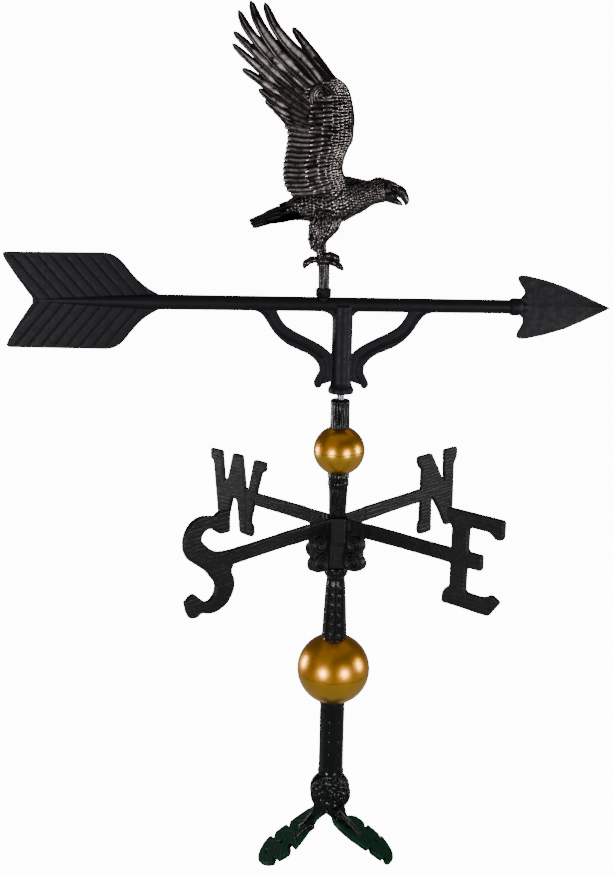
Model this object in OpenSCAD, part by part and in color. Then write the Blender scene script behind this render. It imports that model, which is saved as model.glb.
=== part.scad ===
// Weather vane: a cast eagle above a feathered arrow that turns on a steel spindle, with four lettered
// compass arms, two hollow gold balls and a cast mast that is hinged to two leaf-shaped roof feet.
// The origin is on the roof ridge under the mast. +Z runs up the mast, and +X points along the arrow.

/* [Roof feet] */
// Pitch of the roof that the feet are set to, degrees
roof_pitch = 38; // [36:1:41]
// Height of the pivot bolt above the roof ridge
pivot_height = 38.6; // [38:0.2:42]
// Thickness of a foot's leaf plate
foot_t = 7; // [5:0.5:8]
// Half width of a foot's leaf plate
foot_half_w = 38; // [34:1:42]
// Diameter of the screw holes in the feet
foot_hole_d = 7; // [5:0.5:9]
// Diameter of the pivot bolt
bolt_d = 8; // [6:1:10]

/* [Mast] */
// Length of the cast base column, from its shoulder to the lower ball
base_len = 119.2; // [100:0.2:150]
// Diameter of the lower ball
lower_ball_d = 102; // [90:1:110]
// Length of the tapered column between the lower ball and the compass hub
mid_len = 109.5; // [90:0.5:130]
// Diameter of the upper ball
upper_ball_d = 69; // [60:1:76]
// Wall of both balls
ball_wall = 1.5; // [1:0.5:3]
// Diameter of the steel spindle rod
rod_d = 10; // [8:1:11]

/* [Compass arms] */
// Height of the letters
letter_h = 128; // [110:1:140]
// Thickness of the letters and the arms
letter_t = 5; // [4:0.5:7]
// Depth of the arms
arm_depth = 19; // [16:1:22]

/* [Arrow] */
// Overall length of the arrow, from the tail corners to the point
arrow_len = 813; // [760:1:860]
// Half height of the tail
tail_half_h = 62.5; // [55:0.5:70]
// Diameter of the arrow's shaft at the tail
shaft_d = 18.4; // [16:0.2:20]

/* [Eagle] */
// Lean of each wing out from upright, degrees
wing_lean = 4; // [2:1:7]
// Thickness of the wings
wing_t = 5; // [4:0.5:7]

/* [Hidden] */

$fn = 48;
fit = 0.06;                 // radial clearance of a running fit
slip = 0.2;                 // clearance of parts that only slide together
eps = 0.01;                 // overlap that keeps a cut clean

// Knuckle
tongue_half = 3.25;         // half thickness of the column's tongue
eye_in = 3.5;               // inner face of each eye, from the mast's middle plane
eye_out = 11;               // outer face of each eye
boss_out = 14;              // face of the eye's raised boss
eye_r = pivot_height * cos(roof_pitch);
boss_r = eye_r - 4;
tongue_r = eye_r - foot_t - 1.2;
washer_t = 1.6;
hole_s = [85, 114];         // distance of each foot's screw holes down the slope from the ridge
bolt_head_h = 5.3;
bolt_head_af = 13;

// Heights up the mast
column_z = pivot_height + eye_r + 0.8;
collar_r = 19.2;
lower_ball_r = lower_ball_d / 2;
lower_ball_z = column_z + base_len + sqrt(pow(lower_ball_r, 2) - pow(collar_r, 2));
mid_r0 = 16.8;
mid_r1 = 12.7;
mid_z = lower_ball_z + sqrt(pow(lower_ball_r, 2) - pow(mid_r0, 2));
hub_z = mid_z + mid_len;
hub_h = 73.5;
hub_split = hub_z + 35;
hub_half = 12.5;            // half width of the hub's square boss
sleeve_z = hub_z + hub_h;
sleeve_len = 64;
sleeve_collar_r = 14.8;
upper_ball_r = upper_ball_d / 2;
upper_ball_z = sleeve_z + sleeve_len + sqrt(pow(upper_ball_r, 2) - pow(sleeve_collar_r, 2));
top_sleeve_r = 12.9;
top_sleeve_z = upper_ball_z + sqrt(pow(upper_ball_r, 2) - pow(top_sleeve_r, 2));
top_sleeve_len = 40;
bell_z = top_sleeve_z + top_sleeve_len + 8.5;
bell_r = 16.2;
arrow_z = bell_z + 121;
rod_r = rod_d / 2;
rod_bore_r = rod_r + slip;
rod_z0 = column_z + 20;
rod_grip = 30;              // length of the rod that grips the base column
rod_z1 = arrow_z - 24;
bearing_r = 4.76;
bush_r = 8;
bush_len = 20;

// Compass letters, which are drawn about the arms' middle line
letter_k = letter_h / 128;
arm_z = sleeve_z - 9;

// Arrow
tail_x = -449 * arrow_len / 813;
tip_x = tail_x + arrow_len;
notch_x = tail_x + 38;
shaft_r0 = shaft_d / 2;
shaft_r1 = 8.3;
head_x = tip_x - 137;       // where the arrowhead's collar meets the shaft
head_collar_r = 11.7;
stud_r = 4;
stud_grip = 24;             // length of the stud inside the shaft
hub_r = 13.2;

// Eagle
eagle_z = arrow_z - 732.5;  // height of the eagle's drawing datum
stem_x = -26.5;
stem_r = 6.2;
stem_top = 784;             // where the stem meets the eagle's knob
pin_r = 3.4;                // the pin that holds the eagle on the stem
pin_len = 19;
nut_z = arrow_z + 9.4;       // the nut sits on a flat seat on top of the shaft
nut_h = 12;
nut_af = 19;
spigot_x = -24;             // the spigots that hold the wings in the body
spigot_z = 878;
spigot_r = 5;
wing_y = 17;                // from the middle plane to the inside of a wing's root

function arc(cx, cy, rx, ry, a0, a1, n) =
    [for (i = [0:n]) let (a = a0 + (a1 - a0) * i / n) [cx + rx * cos(a), cy + ry * sin(a)]];
function bezier(a, b, c, d, n) =
    [for (i = [0:n]) let (u = i / n, v = 1 - u)
        v * v * v * a + 3 * v * v * u * b + 3 * v * u * u * c + u * u * u * d];

// A flat plate of thickness t, drawn in X and Z and centred on Y = 0
module upright(t) {
    translate([0, t / 2, 0]) rotate([90, 0, 0]) linear_extrude(t) children();
}
// A flat plate drawn in X and Z between two values of Y
module between(y0, y1) {
    translate([0, y1, 0]) rotate([90, 0, 0]) linear_extrude(y1 - y0) children();
}
module bore(r, z0, z1) {
    translate([0, 0, z0]) cylinder(h = z1 - z0, r = r);
}
module hex_prism(af, h) {
    cylinder(h = h, r = af / sqrt(3), $fn = 6);
}

// ---- Roof feet: each is drawn lying on the roof, with X down the slope and Z out of the roof ----

module leaf_outline() {
    tip_r = foot_half_w + 1.5;
    tip_c = 90;             // middle of the tip lobe's arc
    tip_s = 102;            // where the tip lobe starts
    lobe_s = [74, 97.5];
    notch_half = foot_half_w - 13;
    difference() {
        union() {
            translate([50, -notch_half]) square([tip_s - 45, 2 * notch_half]);
            translate([lobe_s[0] + 3, -foot_half_w]) square([lobe_s[1] - lobe_s[0] - 6, 2 * foot_half_w]);
            translate([lobe_s[0], -foot_half_w + 3]) square([lobe_s[1] - lobe_s[0], 2 * foot_half_w - 6]);
            for (s = [lobe_s[0] + 3, lobe_s[1] - 3], t = [3 - foot_half_w, foot_half_w - 3])
                translate([s, t]) circle(r = 3);
            intersection() {
                translate([tip_c, 0]) circle(r = tip_r);
                translate([tip_s, -tip_r]) square([tip_r, 2 * tip_r]);
            }
            polygon([[2, -4.2], [2, -20], [12, -31], [36, 1 - foot_half_w], [66, -foot_half_w],
                [67, 3 - foot_half_w], [67, foot_half_w - 4], [64, foot_half_w - 1],
                [60, foot_half_w - 1], [46, 22], [30, 4], [22, -4.2]]);
        }
        translate([70.5, 18]) circle(r = 2.6);
        polygon([[67.9, 18], [73.1, 18], [73.9, foot_half_w + 6], [67.1, foot_half_w + 6]]);
    }
}

module web_profile() {
    tangent_s = -pivot_height * sin(roof_pitch);
    polygon([[tangent_s, 0], [52, 0], [52, foot_t], [17.5, 17],
        [26 * cos(roof_pitch) - pivot_height * sin(roof_pitch),
         26 * sin(roof_pitch) + pivot_height * cos(roof_pitch)], [tangent_s, eye_r]]);
}

module leg_casting() {
    pivot_s = -pivot_height * sin(roof_pitch);
    rotate([0, roof_pitch, 0]) difference() {
        union() {
            linear_extrude(foot_t) leaf_outline();
            between(-eye_out, -eye_in) web_profile();
            between(-eye_out - 9, -eye_out + eps)
                polygon([[4, 0], [50, 0], [50, foot_t], [20, foot_t + 6], [4, foot_t + 9]]);
            translate([pivot_s, -eye_in, eye_r]) rotate([90, 0, 0]) {
                cylinder(h = eye_out - eye_in, r = eye_r);
                cylinder(h = boss_out - eye_in, r = boss_r);
            }
        }
        for (s = hole_s) translate([s, 0, -eps]) cylinder(h = foot_t + 1, r = foot_hole_d / 2);
    }
}

module right_leg() {
    color("#26282a") difference() {
        leg_casting();
        translate([0, -eye_in + eps, pivot_height]) rotate([90, 0, 0]) cylinder(h = 8.5, r = bolt_d / 2);
    }
}

module left_leg() {
    color("#26282a") difference() {
        rotate([0, 0, 180]) leg_casting();
        translate([0, boss_out + 1, pivot_height]) rotate([90, 0, 0])
            cylinder(h = boss_out, r = bolt_d / 2 + fit);
    }
}

module pivot_bolt() {
    head_y = boss_out + washer_t + fit;
    color("#4a4c50") translate([0, head_y, pivot_height]) {
        rotate([90, 0, 0]) cylinder(h = head_y + eye_in + 8.3, r = bolt_d / 2);
        rotate([-90, 0, 0]) hex_prism(bolt_head_af, bolt_head_h);
    }
}

module pivot_washer() {
    color("#5a5c60") translate([0, boss_out + 0.02, pivot_height]) rotate([-90, 0, 0]) difference() {
        cylinder(h = washer_t, r = bolt_d);
        translate([0, 0, -1]) cylinder(h = washer_t + 2, r = bolt_d / 2 + slip);
    }
}

// ---- Mast ----

module octagon(r) {
    rotate(-11) circle(r = r / cos(22.5), $fn = 8);
}

module base_column() {
    shoulder_h = 4;
    seat_h = 18;
    color("#232624") difference() {
        union() {
            translate([0, 0, column_z]) cylinder(h = shoulder_h, r1 = 16.2, r2 = 17);
            translate([0, 0, column_z]) linear_extrude(base_len - seat_h + 1) octagon(16);
            translate([0, 0, column_z + base_len - seat_h]) rotate_extrude()
                polygon([[0, 0], [17.2, 0], [18.2, 6], [collar_r, 7.5], [collar_r, seat_h], [0, seat_h + 8]]);
            upright(2 * tongue_half) union() {
                translate([0, pivot_height]) circle(r = tongue_r);
                translate([-15.8, pivot_height + 12]) square([31.6, column_z - pivot_height - 11]);
            }
        }
        translate([0, 0, lower_ball_z]) sphere(r = lower_ball_r + 0.02, $fn = 96);
        bore(rod_bore_r, rod_z0 + rod_grip, lower_ball_z);
        bore(rod_r, rod_z0, rod_z0 + rod_grip + eps);
        translate([0, tongue_half + 1, pivot_height]) rotate([90, 0, 0])
            cylinder(h = 2 * tongue_half + 2, r = bolt_d / 2 + fit);
    }
}

// A half of a hollow ball: side is 1 for the upper half and -1 for the lower half
module half_ball(r, side) {
    rim_r = rod_r + 2.5;
    difference() {
        intersection() {
            sphere(r = r, $fn = 96);
            translate([-r - 1, -r - 1, side > 0 ? 0 : -r - 1]) cube([2 * r + 2, 2 * r + 2, r + 1]);
        }
        sphere(r = r - ball_wall, $fn = 96);
        translate([0, 0, side > 0 ? 0 : -r - 1]) cylinder(h = r + 1, r = rim_r);
    }
}
module lower_ball_bottom() { color("#c79a2c") translate([0, 0, lower_ball_z]) half_ball(lower_ball_r, -1); }
module lower_ball_top() { color("#c79a2c") translate([0, 0, lower_ball_z]) half_ball(lower_ball_r, 1); }
module upper_ball_bottom() { color("#c79a2c") translate([0, 0, upper_ball_z]) half_ball(upper_ball_r, -1); }
module upper_ball_top() { color("#c79a2c") translate([0, 0, upper_ball_z]) half_ball(upper_ball_r, 1); }

// A tapered bar with eight flat sides: r0 and r1 are its half widths at the bottom and the top
module eight_sided_taper(r0, r1, h) {
    intersection() {
        upright(60) polygon([[-r0, 0], [r0, 0], [r1, h], [-r1, h]]);
        rotate(45) upright(60) polygon([[-r0, 0], [r0, 0], [r1, h], [-r1, h]]);
        rotate(90) upright(60) polygon([[-r0, 0], [r0, 0], [r1, h], [-r1, h]]);
        rotate(135) upright(60) polygon([[-r0, 0], [r0, 0], [r1, h], [-r1, h]]);
    }
}

module middle_column() {
    collar_h = 16;
    color("#232624") difference() {
        union() {
            translate([0, 0, mid_z - 4]) rotate(-11) eight_sided_taper(mid_r0, mid_r1, mid_len + 6 - collar_h);
            translate([0, 0, hub_z - collar_h]) rotate_extrude()
                polygon([[0, 0], [mid_r1, 0], [15.5, 2], [17, 7], [17, collar_h], [0, collar_h]]);
        }
        translate([0, 0, lower_ball_z]) sphere(r = lower_ball_r + 0.02, $fn = 96);
        bore(rod_bore_r, mid_z - 10, hub_z + 1);
    }
}

module lower_sleeve() {
    collar_h = 19;
    color("#3a3d42") difference() {
        translate([0, 0, sleeve_z]) rotate_extrude()
            polygon([[0, 0], [11.4, 0], [13.2, sleeve_len - collar_h], [sleeve_collar_r, sleeve_len - collar_h + 2],
                [sleeve_collar_r, sleeve_len], [0, sleeve_len + 6]]);
        translate([0, 0, upper_ball_z]) sphere(r = upper_ball_r + 0.02, $fn = 96);
        bore(rod_bore_r, sleeve_z - 1, upper_ball_z);
    }
}

// The upper sleeve screws down on the rod and clamps everything below it
module upper_sleeve() {
    color("#3a3d42") difference() {
        translate([0, 0, top_sleeve_z]) rotate_extrude()
            polygon([[0, -4], [13.2, -4], [13.2, 2], [top_sleeve_r, top_sleeve_len - 2],
                [top_sleeve_r - 1.5, top_sleeve_len], [0, top_sleeve_len]]);
        translate([0, 0, upper_ball_z]) sphere(r = upper_ball_r + 0.02, $fn = 96);
        bore(rod_r, upper_ball_z, top_sleeve_z + top_sleeve_len + 1);
    }
}

module spindle_rod() {
    color("#8d9196") rotate_extrude()
        polygon([[0, rod_z0], [rod_r, rod_z0], [rod_r, rod_z1 - 2], [rod_r - 1, rod_z1], [0, rod_z1]]);
}

module bearing_ball() {
    color("#b9bcc0") translate([0, 0, rod_z1 + bearing_r]) sphere(r = bearing_r);
}

module spindle_bush() {
    color("#b08a3a") difference() {
        bore(bush_r, bell_z + 0.3, bell_z + bush_len);
        bore(rod_r + fit, bell_z, bell_z + bush_len + 1);
    }
}

// ---- Compass arms: letters are drawn with X out along the arm and Y up from the letters' middle ----

function letter_scale(points) = [for (p = points) [p[0], p[1] * letter_k]];

module letter_e() {
    polygon(letter_scale([[183.5, -64], [184.5, -51], [188, -45], [194.5, -40], [194.5, 41], [189, 46],
        [185, 52], [185, 64], [269.5, 64], [269.5, 41], [264, 38], [258, 39.5], [250, 46], [222, 46],
        [218.5, 42], [218.5, 16], [221, 14], [241, 12], [241, -6], [238, -8], [221, -9], [217.5, -12],
        [217.5, -39], [221, -43], [240, -43.5], [250, -41], [257, -36], [269.5, -42], [254, -64]]));
}

module letter_n() {
    polygon(letter_scale([[187, 64], [187, 55], [191, 48], [198, 43], [198, -40], [194, -44],
        [194, -54], [197, -60], [203, -61], [226, -61], [223.5, -13], [226, -4], [249, -33], [264, -57],
        [268, -61], [284, -61], [281, 38], [284, 43], [288, 48], [288, 64], [256, 64], [259, 11],
        [254, 15], [220, 64]]));
}

module letter_w() {
    polygon(letter_scale([[258, 64], [258, 49.5], [251.5, 46], [250.5, 38], [241.7, -37], [241, -57],
        [238, -59], [221, -59], [219.5, -35], [211.3, -5], [203, -6], [199, -10], [194, -54],
        [192, -58], [169, -59], [166, -56], [166, -43], [170, -39], [171, -35], [164.3, -8], [158, 14],
        [151.3, 37], [149, 44.5], [140.3, 49], [140.3, 62], [164, 62], [175.5, 15], [183, 13],
        [190.3, 64], [208.7, 64], [218.7, 26], [226.5, 16], [229.5, 20], [234.3, 64]]));
}

module letter_s() {
    polygon(letter_scale(concat(
        [[211, 37], [211, 65], [231, 65], [234, 61]],
        arc(257, 36.5, 29, 29, 100, -50, 14),
        [[250, -5]],
        arc(248, -31, 14.5, 16, 150, 315, 10),
        [[272, -30], [285, -37], [282, -50], [277, -60], [267, -62], [258, -58]],
        arc(237, -34, 34, 29.5, 290, 150, 12),
        [[208, -14], [204, -8], [204, 11], [220, 12]],
        [[232, 14], [245, 21]],
        arc(246, 37, 13, 11.5, -15, 140, 8),
        [[227, 38], [221, 37]])));
}

module arm_outline(reach) {
    top = arm_z + arm_depth / 2;
    polygon([[14, top], [reach, top], [reach, top - arm_depth], [65, top - arm_depth],
        [50, top - arm_depth - 3], [38, top - arm_depth - 9], [38, hub_z + 22], [14, hub_z + 22]]);
}

// One arm with its scroll bracket, its root block and its letter
module compass_arm(azimuth, reach) {
    letter_z = arm_z - 2;
    rotate([0, 0, azimuth]) {
        upright(letter_t) arm_outline(reach);
        upright(letter_t) translate([0, letter_z]) children();
        upright(12) translate([42, hub_z + 41]) circle(r = 11);
        upright(12) translate([39.5, hub_z + 13.5]) circle(r = 13);
        upright(10) polygon([[12, hub_z + 1], [38, hub_z + 1], [42, hub_z + 30], [34, hub_z + 52],
            [30, hub_z + 72], [12, hub_z + 72]]);
    }
}

module hub_boss(z0, z1) {
    translate([-hub_half, -hub_half, z0]) cube([2 * hub_half, 2 * hub_half, z1 - z0]);
}
module hub_pocket(z0, z1) {
    side = hub_half + slip;
    translate([-side, -side, z0]) cube([2 * side, 2 * side, z1 - z0]);
}
module set_screw_hole(z) {
    translate([0, hub_half + 1, z]) rotate([90, 0, 0]) cylinder(h = hub_half, r = 2.5);
}

module ns_bar() {
    color("#303236") difference() {
        union() {
            difference() {
                union() {
                    compass_arm(45, 203) letter_n();
                    compass_arm(225, 206) letter_s();
                }
                hub_pocket(hub_z - 1, hub_z + hub_h + 1);
            }
            hub_boss(hub_z, hub_split);
            for (a = [45, 225]) rotate([0, 0, a]) translate([10, -5, hub_z + 1])
                cube([8, 10, hub_split - hub_z - 1]);
        }
        bore(rod_r + fit, hub_z - 1, sleeve_z + 1);
        set_screw_hole(hub_z + 18);
    }
}

module ew_bar() {
    color("#303236") difference() {
        union() {
            difference() {
                union() {
                    compass_arm(-45, 199) letter_e();
                    compass_arm(135, 160) letter_w();
                }
                hub_pocket(hub_z - 1, hub_z + hub_h + 1);
            }
            hub_boss(hub_split, sleeve_z);
            for (a = [-45, 135]) rotate([0, 0, a]) translate([10, -5, hub_split])
                cube([8, 10, hub_z + 72 - hub_split]);
        }
        bore(rod_r + fit, hub_z - 1, sleeve_z + 1);
        set_screw_hole(hub_split + 19);
    }
}

module hub_set_screws() {
    color("#4a4c50") for (z = [hub_z + 18, hub_split + 19])
        translate([0, rod_r + 0.1, z]) rotate([-90, 0, 0]) difference() {
            cylinder(h = 7, r = 2.5);
            translate([0, 0, 4.5]) hex_prism(2.5, 3);
        }
}

// ---- Arrow: one casting of tail, shaft, hub and braces ----

module fletch_outline() {
    half = tail_half_h;
    root_r = shaft_r0 - 1;
    curve_top = bezier([tail_x + 132, half], [tail_x + 165, half], [tail_x + 159, 28],
        [tail_x + 207, root_r], 12);
    curve_low = [for (i = [12:-1:0]) [curve_top[i][0], -curve_top[i][1]]];
    polygon(concat([[notch_x, 2], [tail_x + 18, 27], [tail_x + 4, half - 10], [tail_x, half - 2],
        [tail_x + 3, half]], curve_top, curve_low, [[tail_x + 3, -half], [tail_x, 2 - half],
        [tail_x + 4, 10 - half], [tail_x + 18, -27], [notch_x, -2]]));
}

// The right-hand brace, drawn from the arrow's middle line; the other one mirrors it
module brace_outline() {
    outer = concat(bezier([123, -9], [104, -10], [101, -31], [84, -48], 6),
        bezier([73, -58], [53, -62], [29, -76], [28, -90], 7));
    tip = arc(30.5, -107, 4.8, 5, 20, -160, 6);
    inner = concat([[14, -105], [10, -100], [10, -72]],
        bezier([14, -70], [28, -52], [50, -46], [68, -35], 6),
        bezier([74, -31], [82, -24], [86, -16], [88, -6], 5));
    polygon(concat(outer, tip, inner));
}

module arrow_casting() {
    brace_t = 9;
    rib_x = tail_x + 200;
    color("#2b2d30") difference() {
        union() {
            translate([0, 0, arrow_z]) {
                upright(5) fletch_outline();
                translate([notch_x + 3, 0, 0]) rotate([0, 90, 0])
                    cylinder(h = rib_x - notch_x - 3, r1 = 2.2, r2 = shaft_r0);
                translate([rib_x, 0, 0]) rotate([0, 90, 0])
                    cylinder(h = head_x - rib_x, r1 = shaft_r0, r2 = shaft_r1);
                upright(brace_t) brace_outline();
                mirror([1, 0, 0]) upright(brace_t) brace_outline();
                translate([stem_x, 0, 0]) cylinder(h = nut_z - arrow_z, r = 9);
            }
            bore(hub_r, bell_z + 9, arrow_z);
            translate([0, 0, bell_z]) rotate_extrude()
                polygon([[0, 0], [bell_r - 1, 0], [bell_r, 1], [bell_r, 5.5], [14.2, 7.5], [hub_r, 10], [0, 10]]);
        }
        bore(bush_r, bell_z - 1, bell_z + bush_len);
        bore(rod_r + 0.6, bell_z, rod_z1 - 6);
        bore(bearing_r + 0.4, rod_z1 - 7, rod_z1 + 2 * bearing_r + 0.06);
        translate([head_x - stud_grip, 0, arrow_z]) rotate([0, 90, 0]) cylinder(h = 30, r = stud_r);
        translate([stem_x, 0, arrow_z - 4]) cylinder(h = 20, r = 4);
    }
}

module arrowhead_stud() {
    color("#8d9196") translate([head_x - stud_grip, 0, arrow_z]) rotate([0, 90, 0])
        cylinder(h = 2 * stud_grip + 2, r = stud_r);
}

module arrowhead() {
    edge = 1.4;
    color("#2b2d30") translate([head_x, 0, arrow_z]) difference() {
        union() {
            rotate([0, 90, 0]) rotate_extrude()
                polygon([[0, 0], [shaft_r1 + 0.4, 0], [head_collar_r - 1, 4], [head_collar_r, 8],
                    [head_collar_r - 0.8, 13], [8, 17], [0, 22]]);
            upright(2 * edge) polygon(concat([[12, 10.5], [17, 12.5]],
                bezier([19.5, 18], [20, 23], [12, 28], [8.5, 37.5], 6),
                [[11, 41], [17, 42], [24, 41], [48, 35.5], [75, 26.5], [110, 11.5], [137, 0], [128, -4.5],
                [103, -17], [76, -29], [48, -37.5], [26, -42.5], [15, -43], [12, -40]],
                bezier([12, -36], [13, -30], [21, -26], [18, -15], 6), [[15, -12], [12, -10.5]]));
            hull() {
                translate([14, 0, 0]) rotate([0, 90, 0]) cylinder(h = 1, r = 6.5, $fn = 32);
                translate([30, -2, -30]) cube([1, 4, 60]);
                translate([118, -edge, -1]) cube([8, 2 * edge, 2]);
            }
        }
        translate([-1, 0, 0]) rotate([0, 90, 0]) cylinder(h = 27, r = stud_r);
    }
}

// ---- Eagle: heights are drawn from the datum eagle_z ----

module eagle_stem() {
    color("#3a322c") translate([stem_x, 0, 0]) {
        bore(4, arrow_z - 4, nut_z);
        bore(stem_r, nut_z, eagle_z + stem_top);
        bore(pin_r, eagle_z + stem_top - eps, eagle_z + stem_top + pin_len);
    }
}

module stem_nut() {
    color("#33302e") translate([stem_x, 0, nut_z]) difference() {
        intersection() {
            rotate(15) hex_prism(nut_af, nut_h);
            rotate_extrude() polygon([[0, 0], [8.5, 0], [11.2, 2], [11.2, 10.5], [9, nut_h], [0, nut_h]]);
        }
        translate([0, 0, -1]) cylinder(h = nut_h + 2, r = stem_r);
    }
}

module egg(p, r, squeeze) {
    translate(p) scale([1, squeeze, 1]) sphere(r = r, $fn = 28);
}

module toe(from, to, r) {
    run = to - from;
    length = norm(run);
    translate(from) rotate([0, acos(run[2] / length), atan2(run[1], run[0])]) rotate_extrude()
        polygon([[0, -r], [r * 0.7, -r * 0.7], [r, 0], [r, length], [r * 0.7, length + r * 0.7], [0, length + r]]);
}

module eagle_foot(side) {
    toe([-31, side * 4, 793], [-9, side * 8, 797], 2.8);
    toe([-30, side * 4, 790], [-4, side * 10, 783], 2.8);
    toe([-34, side * 3, 792], [-51, side * 5, 785], 2.8);
    toe([-31, side * 4, 790], [-31, side * 6, 812], 4);
}

module eagle_body() {
    color("#3b2f28") difference() {
        translate([0, 0, eagle_z]) {
            hull() {
                egg([-45, 0, 862], 14, 0.9);
                egg([-18, 0, 869], 22, 0.72);
                egg([12, 0, 877], 17, 0.85);
            }
            hull() {
                egg([12, 0, 878], 15, 0.9);
                egg([42, 0, 882], 12, 0.85);
                egg([60, 0, 881], 10, 0.85);
            }
            hull() {
                egg([60, 0, 881], 9, 0.7);
                egg([76, 0, 872], 4, 0.8);
            }
            hull() {
                egg([-46, 0, 860], 12, 1);
                translate([-124, -9, 834]) cube([4, 18, 4]);
                translate([-84, -13, 843]) cube([4, 26, 14]);
            }
            for (side = [-1, 1]) {
                hull() {
                    egg([-20, side * 10, 850], 15, 0.7);
                    egg([-36, side * 8, 816], 8, 0.8);
                }
                eagle_foot(side);
            }
            translate([stem_x - 2, 0, stem_top]) cylinder(h = 26, r = 8);
        }
        translate([stem_x, 0, eagle_z + stem_top - 4]) cylinder(h = pin_len + 4, r = pin_r);
        for (side = [-1, 1]) translate([spigot_x, side * 8, eagle_z + spigot_z]) rotate([-90 * side, 0, 0])
            cylinder(h = 30, r = spigot_r);
    }
}

function feather(tip, gap) = [tip + [7, -8], tip + [1.5, 0], tip + [-1, -3], gap];

// size grows the outline about its hind corner; lead is the extra feather on the leading edge
module wing_outline(size, lead) {
    corner = [-120.6, 876];
    points = concat([[4, 893], [-5, 905], [-8, 916], [-2, 935], [6, 944], [4, 953], [6, 964], [3, 990], [-3, 1002],
        [-10, 1013], [-17, 1018], [-45, 1050]], lead,
        [[-90, 1080]], feather([-109, 1105], [-102, 1073]), feather([-126, 1107], [-113, 1064]),
        feather([-140, 1096], [-122, 1057]), feather([-144, 1071], [-121, 1042]),
        feather([-147, 1056], [-114, 1022]), feather([-135, 1026], [-112, 1006]),
        [[-97, 984], [-87, 970], [-79, 963], [-77, 952], [-78, 935], [-82, 912], [-82, 898], [-75, 880],
        [-64, 873], [-50, 869], [-8, 872]]);
    polygon([for (p = points) corner + size * (p - corner)]);
}

// side is -1 for the wing on the side of the east arm, and 1 for the other wing. The wing's outline is the child
module wing(side) {
    root_z = 880;
    color("#3b2f28") {
        translate([0, side * wing_y, eagle_z + root_z]) rotate([-side * wing_lean, 0, 0])
            translate([0, 0, -root_z]) between(side < 0 ? -wing_t : 0, side < 0 ? 0 : wing_t) children();
        translate([spigot_x, side * 8.2, eagle_z + spigot_z]) rotate([-90 * side, 0, 0])
            cylinder(h = wing_y - 7, r = spigot_r);
    }
}
module near_wing() { wing(-1) wing_outline(1, []); }
module far_wing() { wing(1) wing_outline(1.03, feather([-73, 1080], [-60, 1051])); }

right_leg();
left_leg();
pivot_bolt();
pivot_washer();
base_column();
lower_ball_bottom();
lower_ball_top();
middle_column();
ns_bar();
ew_bar();
hub_set_screws();
lower_sleeve();
upper_ball_bottom();
upper_ball_top();
upper_sleeve();
spindle_rod();
bearing_ball();
spindle_bush();
arrow_casting();
arrowhead_stud();
arrowhead();
stem_nut();
eagle_stem();
eagle_body();
near_wing();
far_wing();
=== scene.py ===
"""Looks of the weather vane: cast eagle, feathered arrow, lettered compass arms, gold balls and leaf feet."""
import math

import bmesh
import bpy
import numpy as np
from mathutils import Matrix, Vector
from mathutils.bvhtree import BVHTree


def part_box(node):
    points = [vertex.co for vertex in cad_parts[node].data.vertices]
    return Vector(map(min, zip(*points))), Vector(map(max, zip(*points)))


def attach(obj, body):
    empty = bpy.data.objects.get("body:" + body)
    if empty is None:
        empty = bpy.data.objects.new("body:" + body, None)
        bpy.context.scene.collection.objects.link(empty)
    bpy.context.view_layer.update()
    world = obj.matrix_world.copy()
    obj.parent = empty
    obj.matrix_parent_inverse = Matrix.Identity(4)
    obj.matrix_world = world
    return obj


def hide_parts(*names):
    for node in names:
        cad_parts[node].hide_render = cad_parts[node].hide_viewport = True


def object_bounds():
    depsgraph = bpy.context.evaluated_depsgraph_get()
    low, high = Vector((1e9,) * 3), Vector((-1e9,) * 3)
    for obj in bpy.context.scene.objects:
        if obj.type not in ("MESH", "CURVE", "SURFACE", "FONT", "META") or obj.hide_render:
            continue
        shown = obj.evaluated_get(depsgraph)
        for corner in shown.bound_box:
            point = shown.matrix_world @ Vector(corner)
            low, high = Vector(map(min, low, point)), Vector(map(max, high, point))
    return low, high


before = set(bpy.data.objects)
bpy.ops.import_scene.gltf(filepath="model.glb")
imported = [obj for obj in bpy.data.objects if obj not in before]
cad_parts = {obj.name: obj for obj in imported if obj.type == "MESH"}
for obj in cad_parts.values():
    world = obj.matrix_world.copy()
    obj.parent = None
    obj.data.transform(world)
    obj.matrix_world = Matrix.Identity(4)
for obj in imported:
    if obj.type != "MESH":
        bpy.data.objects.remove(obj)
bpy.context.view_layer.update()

MM = 0.001
VOXEL = 1.0      # scales the grid that casts are welded on


# ---- Places taken from the CAD, in millimetres ----

def span(node, axis):
    """The node's lowest and highest place along an axis."""
    low, high = (np.array(corner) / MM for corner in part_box(node))
    return float(low[axis]), float(high[axis])


ARROW_Z = sum(span("arrowhead_stud", 2)) / 2
EAGLE_Z = ARROW_Z - 732.5              # added to the heights in the eagle's tables
BELL_Z = span("arrow_casting", 2)[0]
LOWER_BALL_Z = span("lower_ball_top", 2)[0]
LOWER_BALL_R = span("lower_ball_top", 0)[1]
UPPER_BALL_Z = span("upper_ball_top", 2)[0]
UPPER_BALL_R = span("upper_ball_top", 0)[1]
HUB_Z = span("middle_column", 2)[1]
HUB_TOP = HUB_Z + 73.5
HUB_SPLIT = HUB_Z + 35
SLEEVE_TOP = HUB_TOP + 64
TOP_SLEEVE_Z = span("upper_sleeve", 2)[1]
PIVOT_Z = sum(span("pivot_washer", 2)) / 2
PITCH = math.radians(38)               # of the roof that the feet are modelled on
EYE_R = PIVOT_Z * math.cos(PITCH)
COLUMN_Z = PIVOT_Z + EYE_R + 0.8
TAIL_X = span("arrow_casting", 0)[0]
HEAD_X = span("arrowhead", 0)[0]
STEM_X = sum(span("stem_nut", 0)) / 2
NUT_Z = span("stem_nut", 2)[0]
ARM_Z = HUB_TOP - 9


# ---- Numeric noise, the same on every run ----

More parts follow.
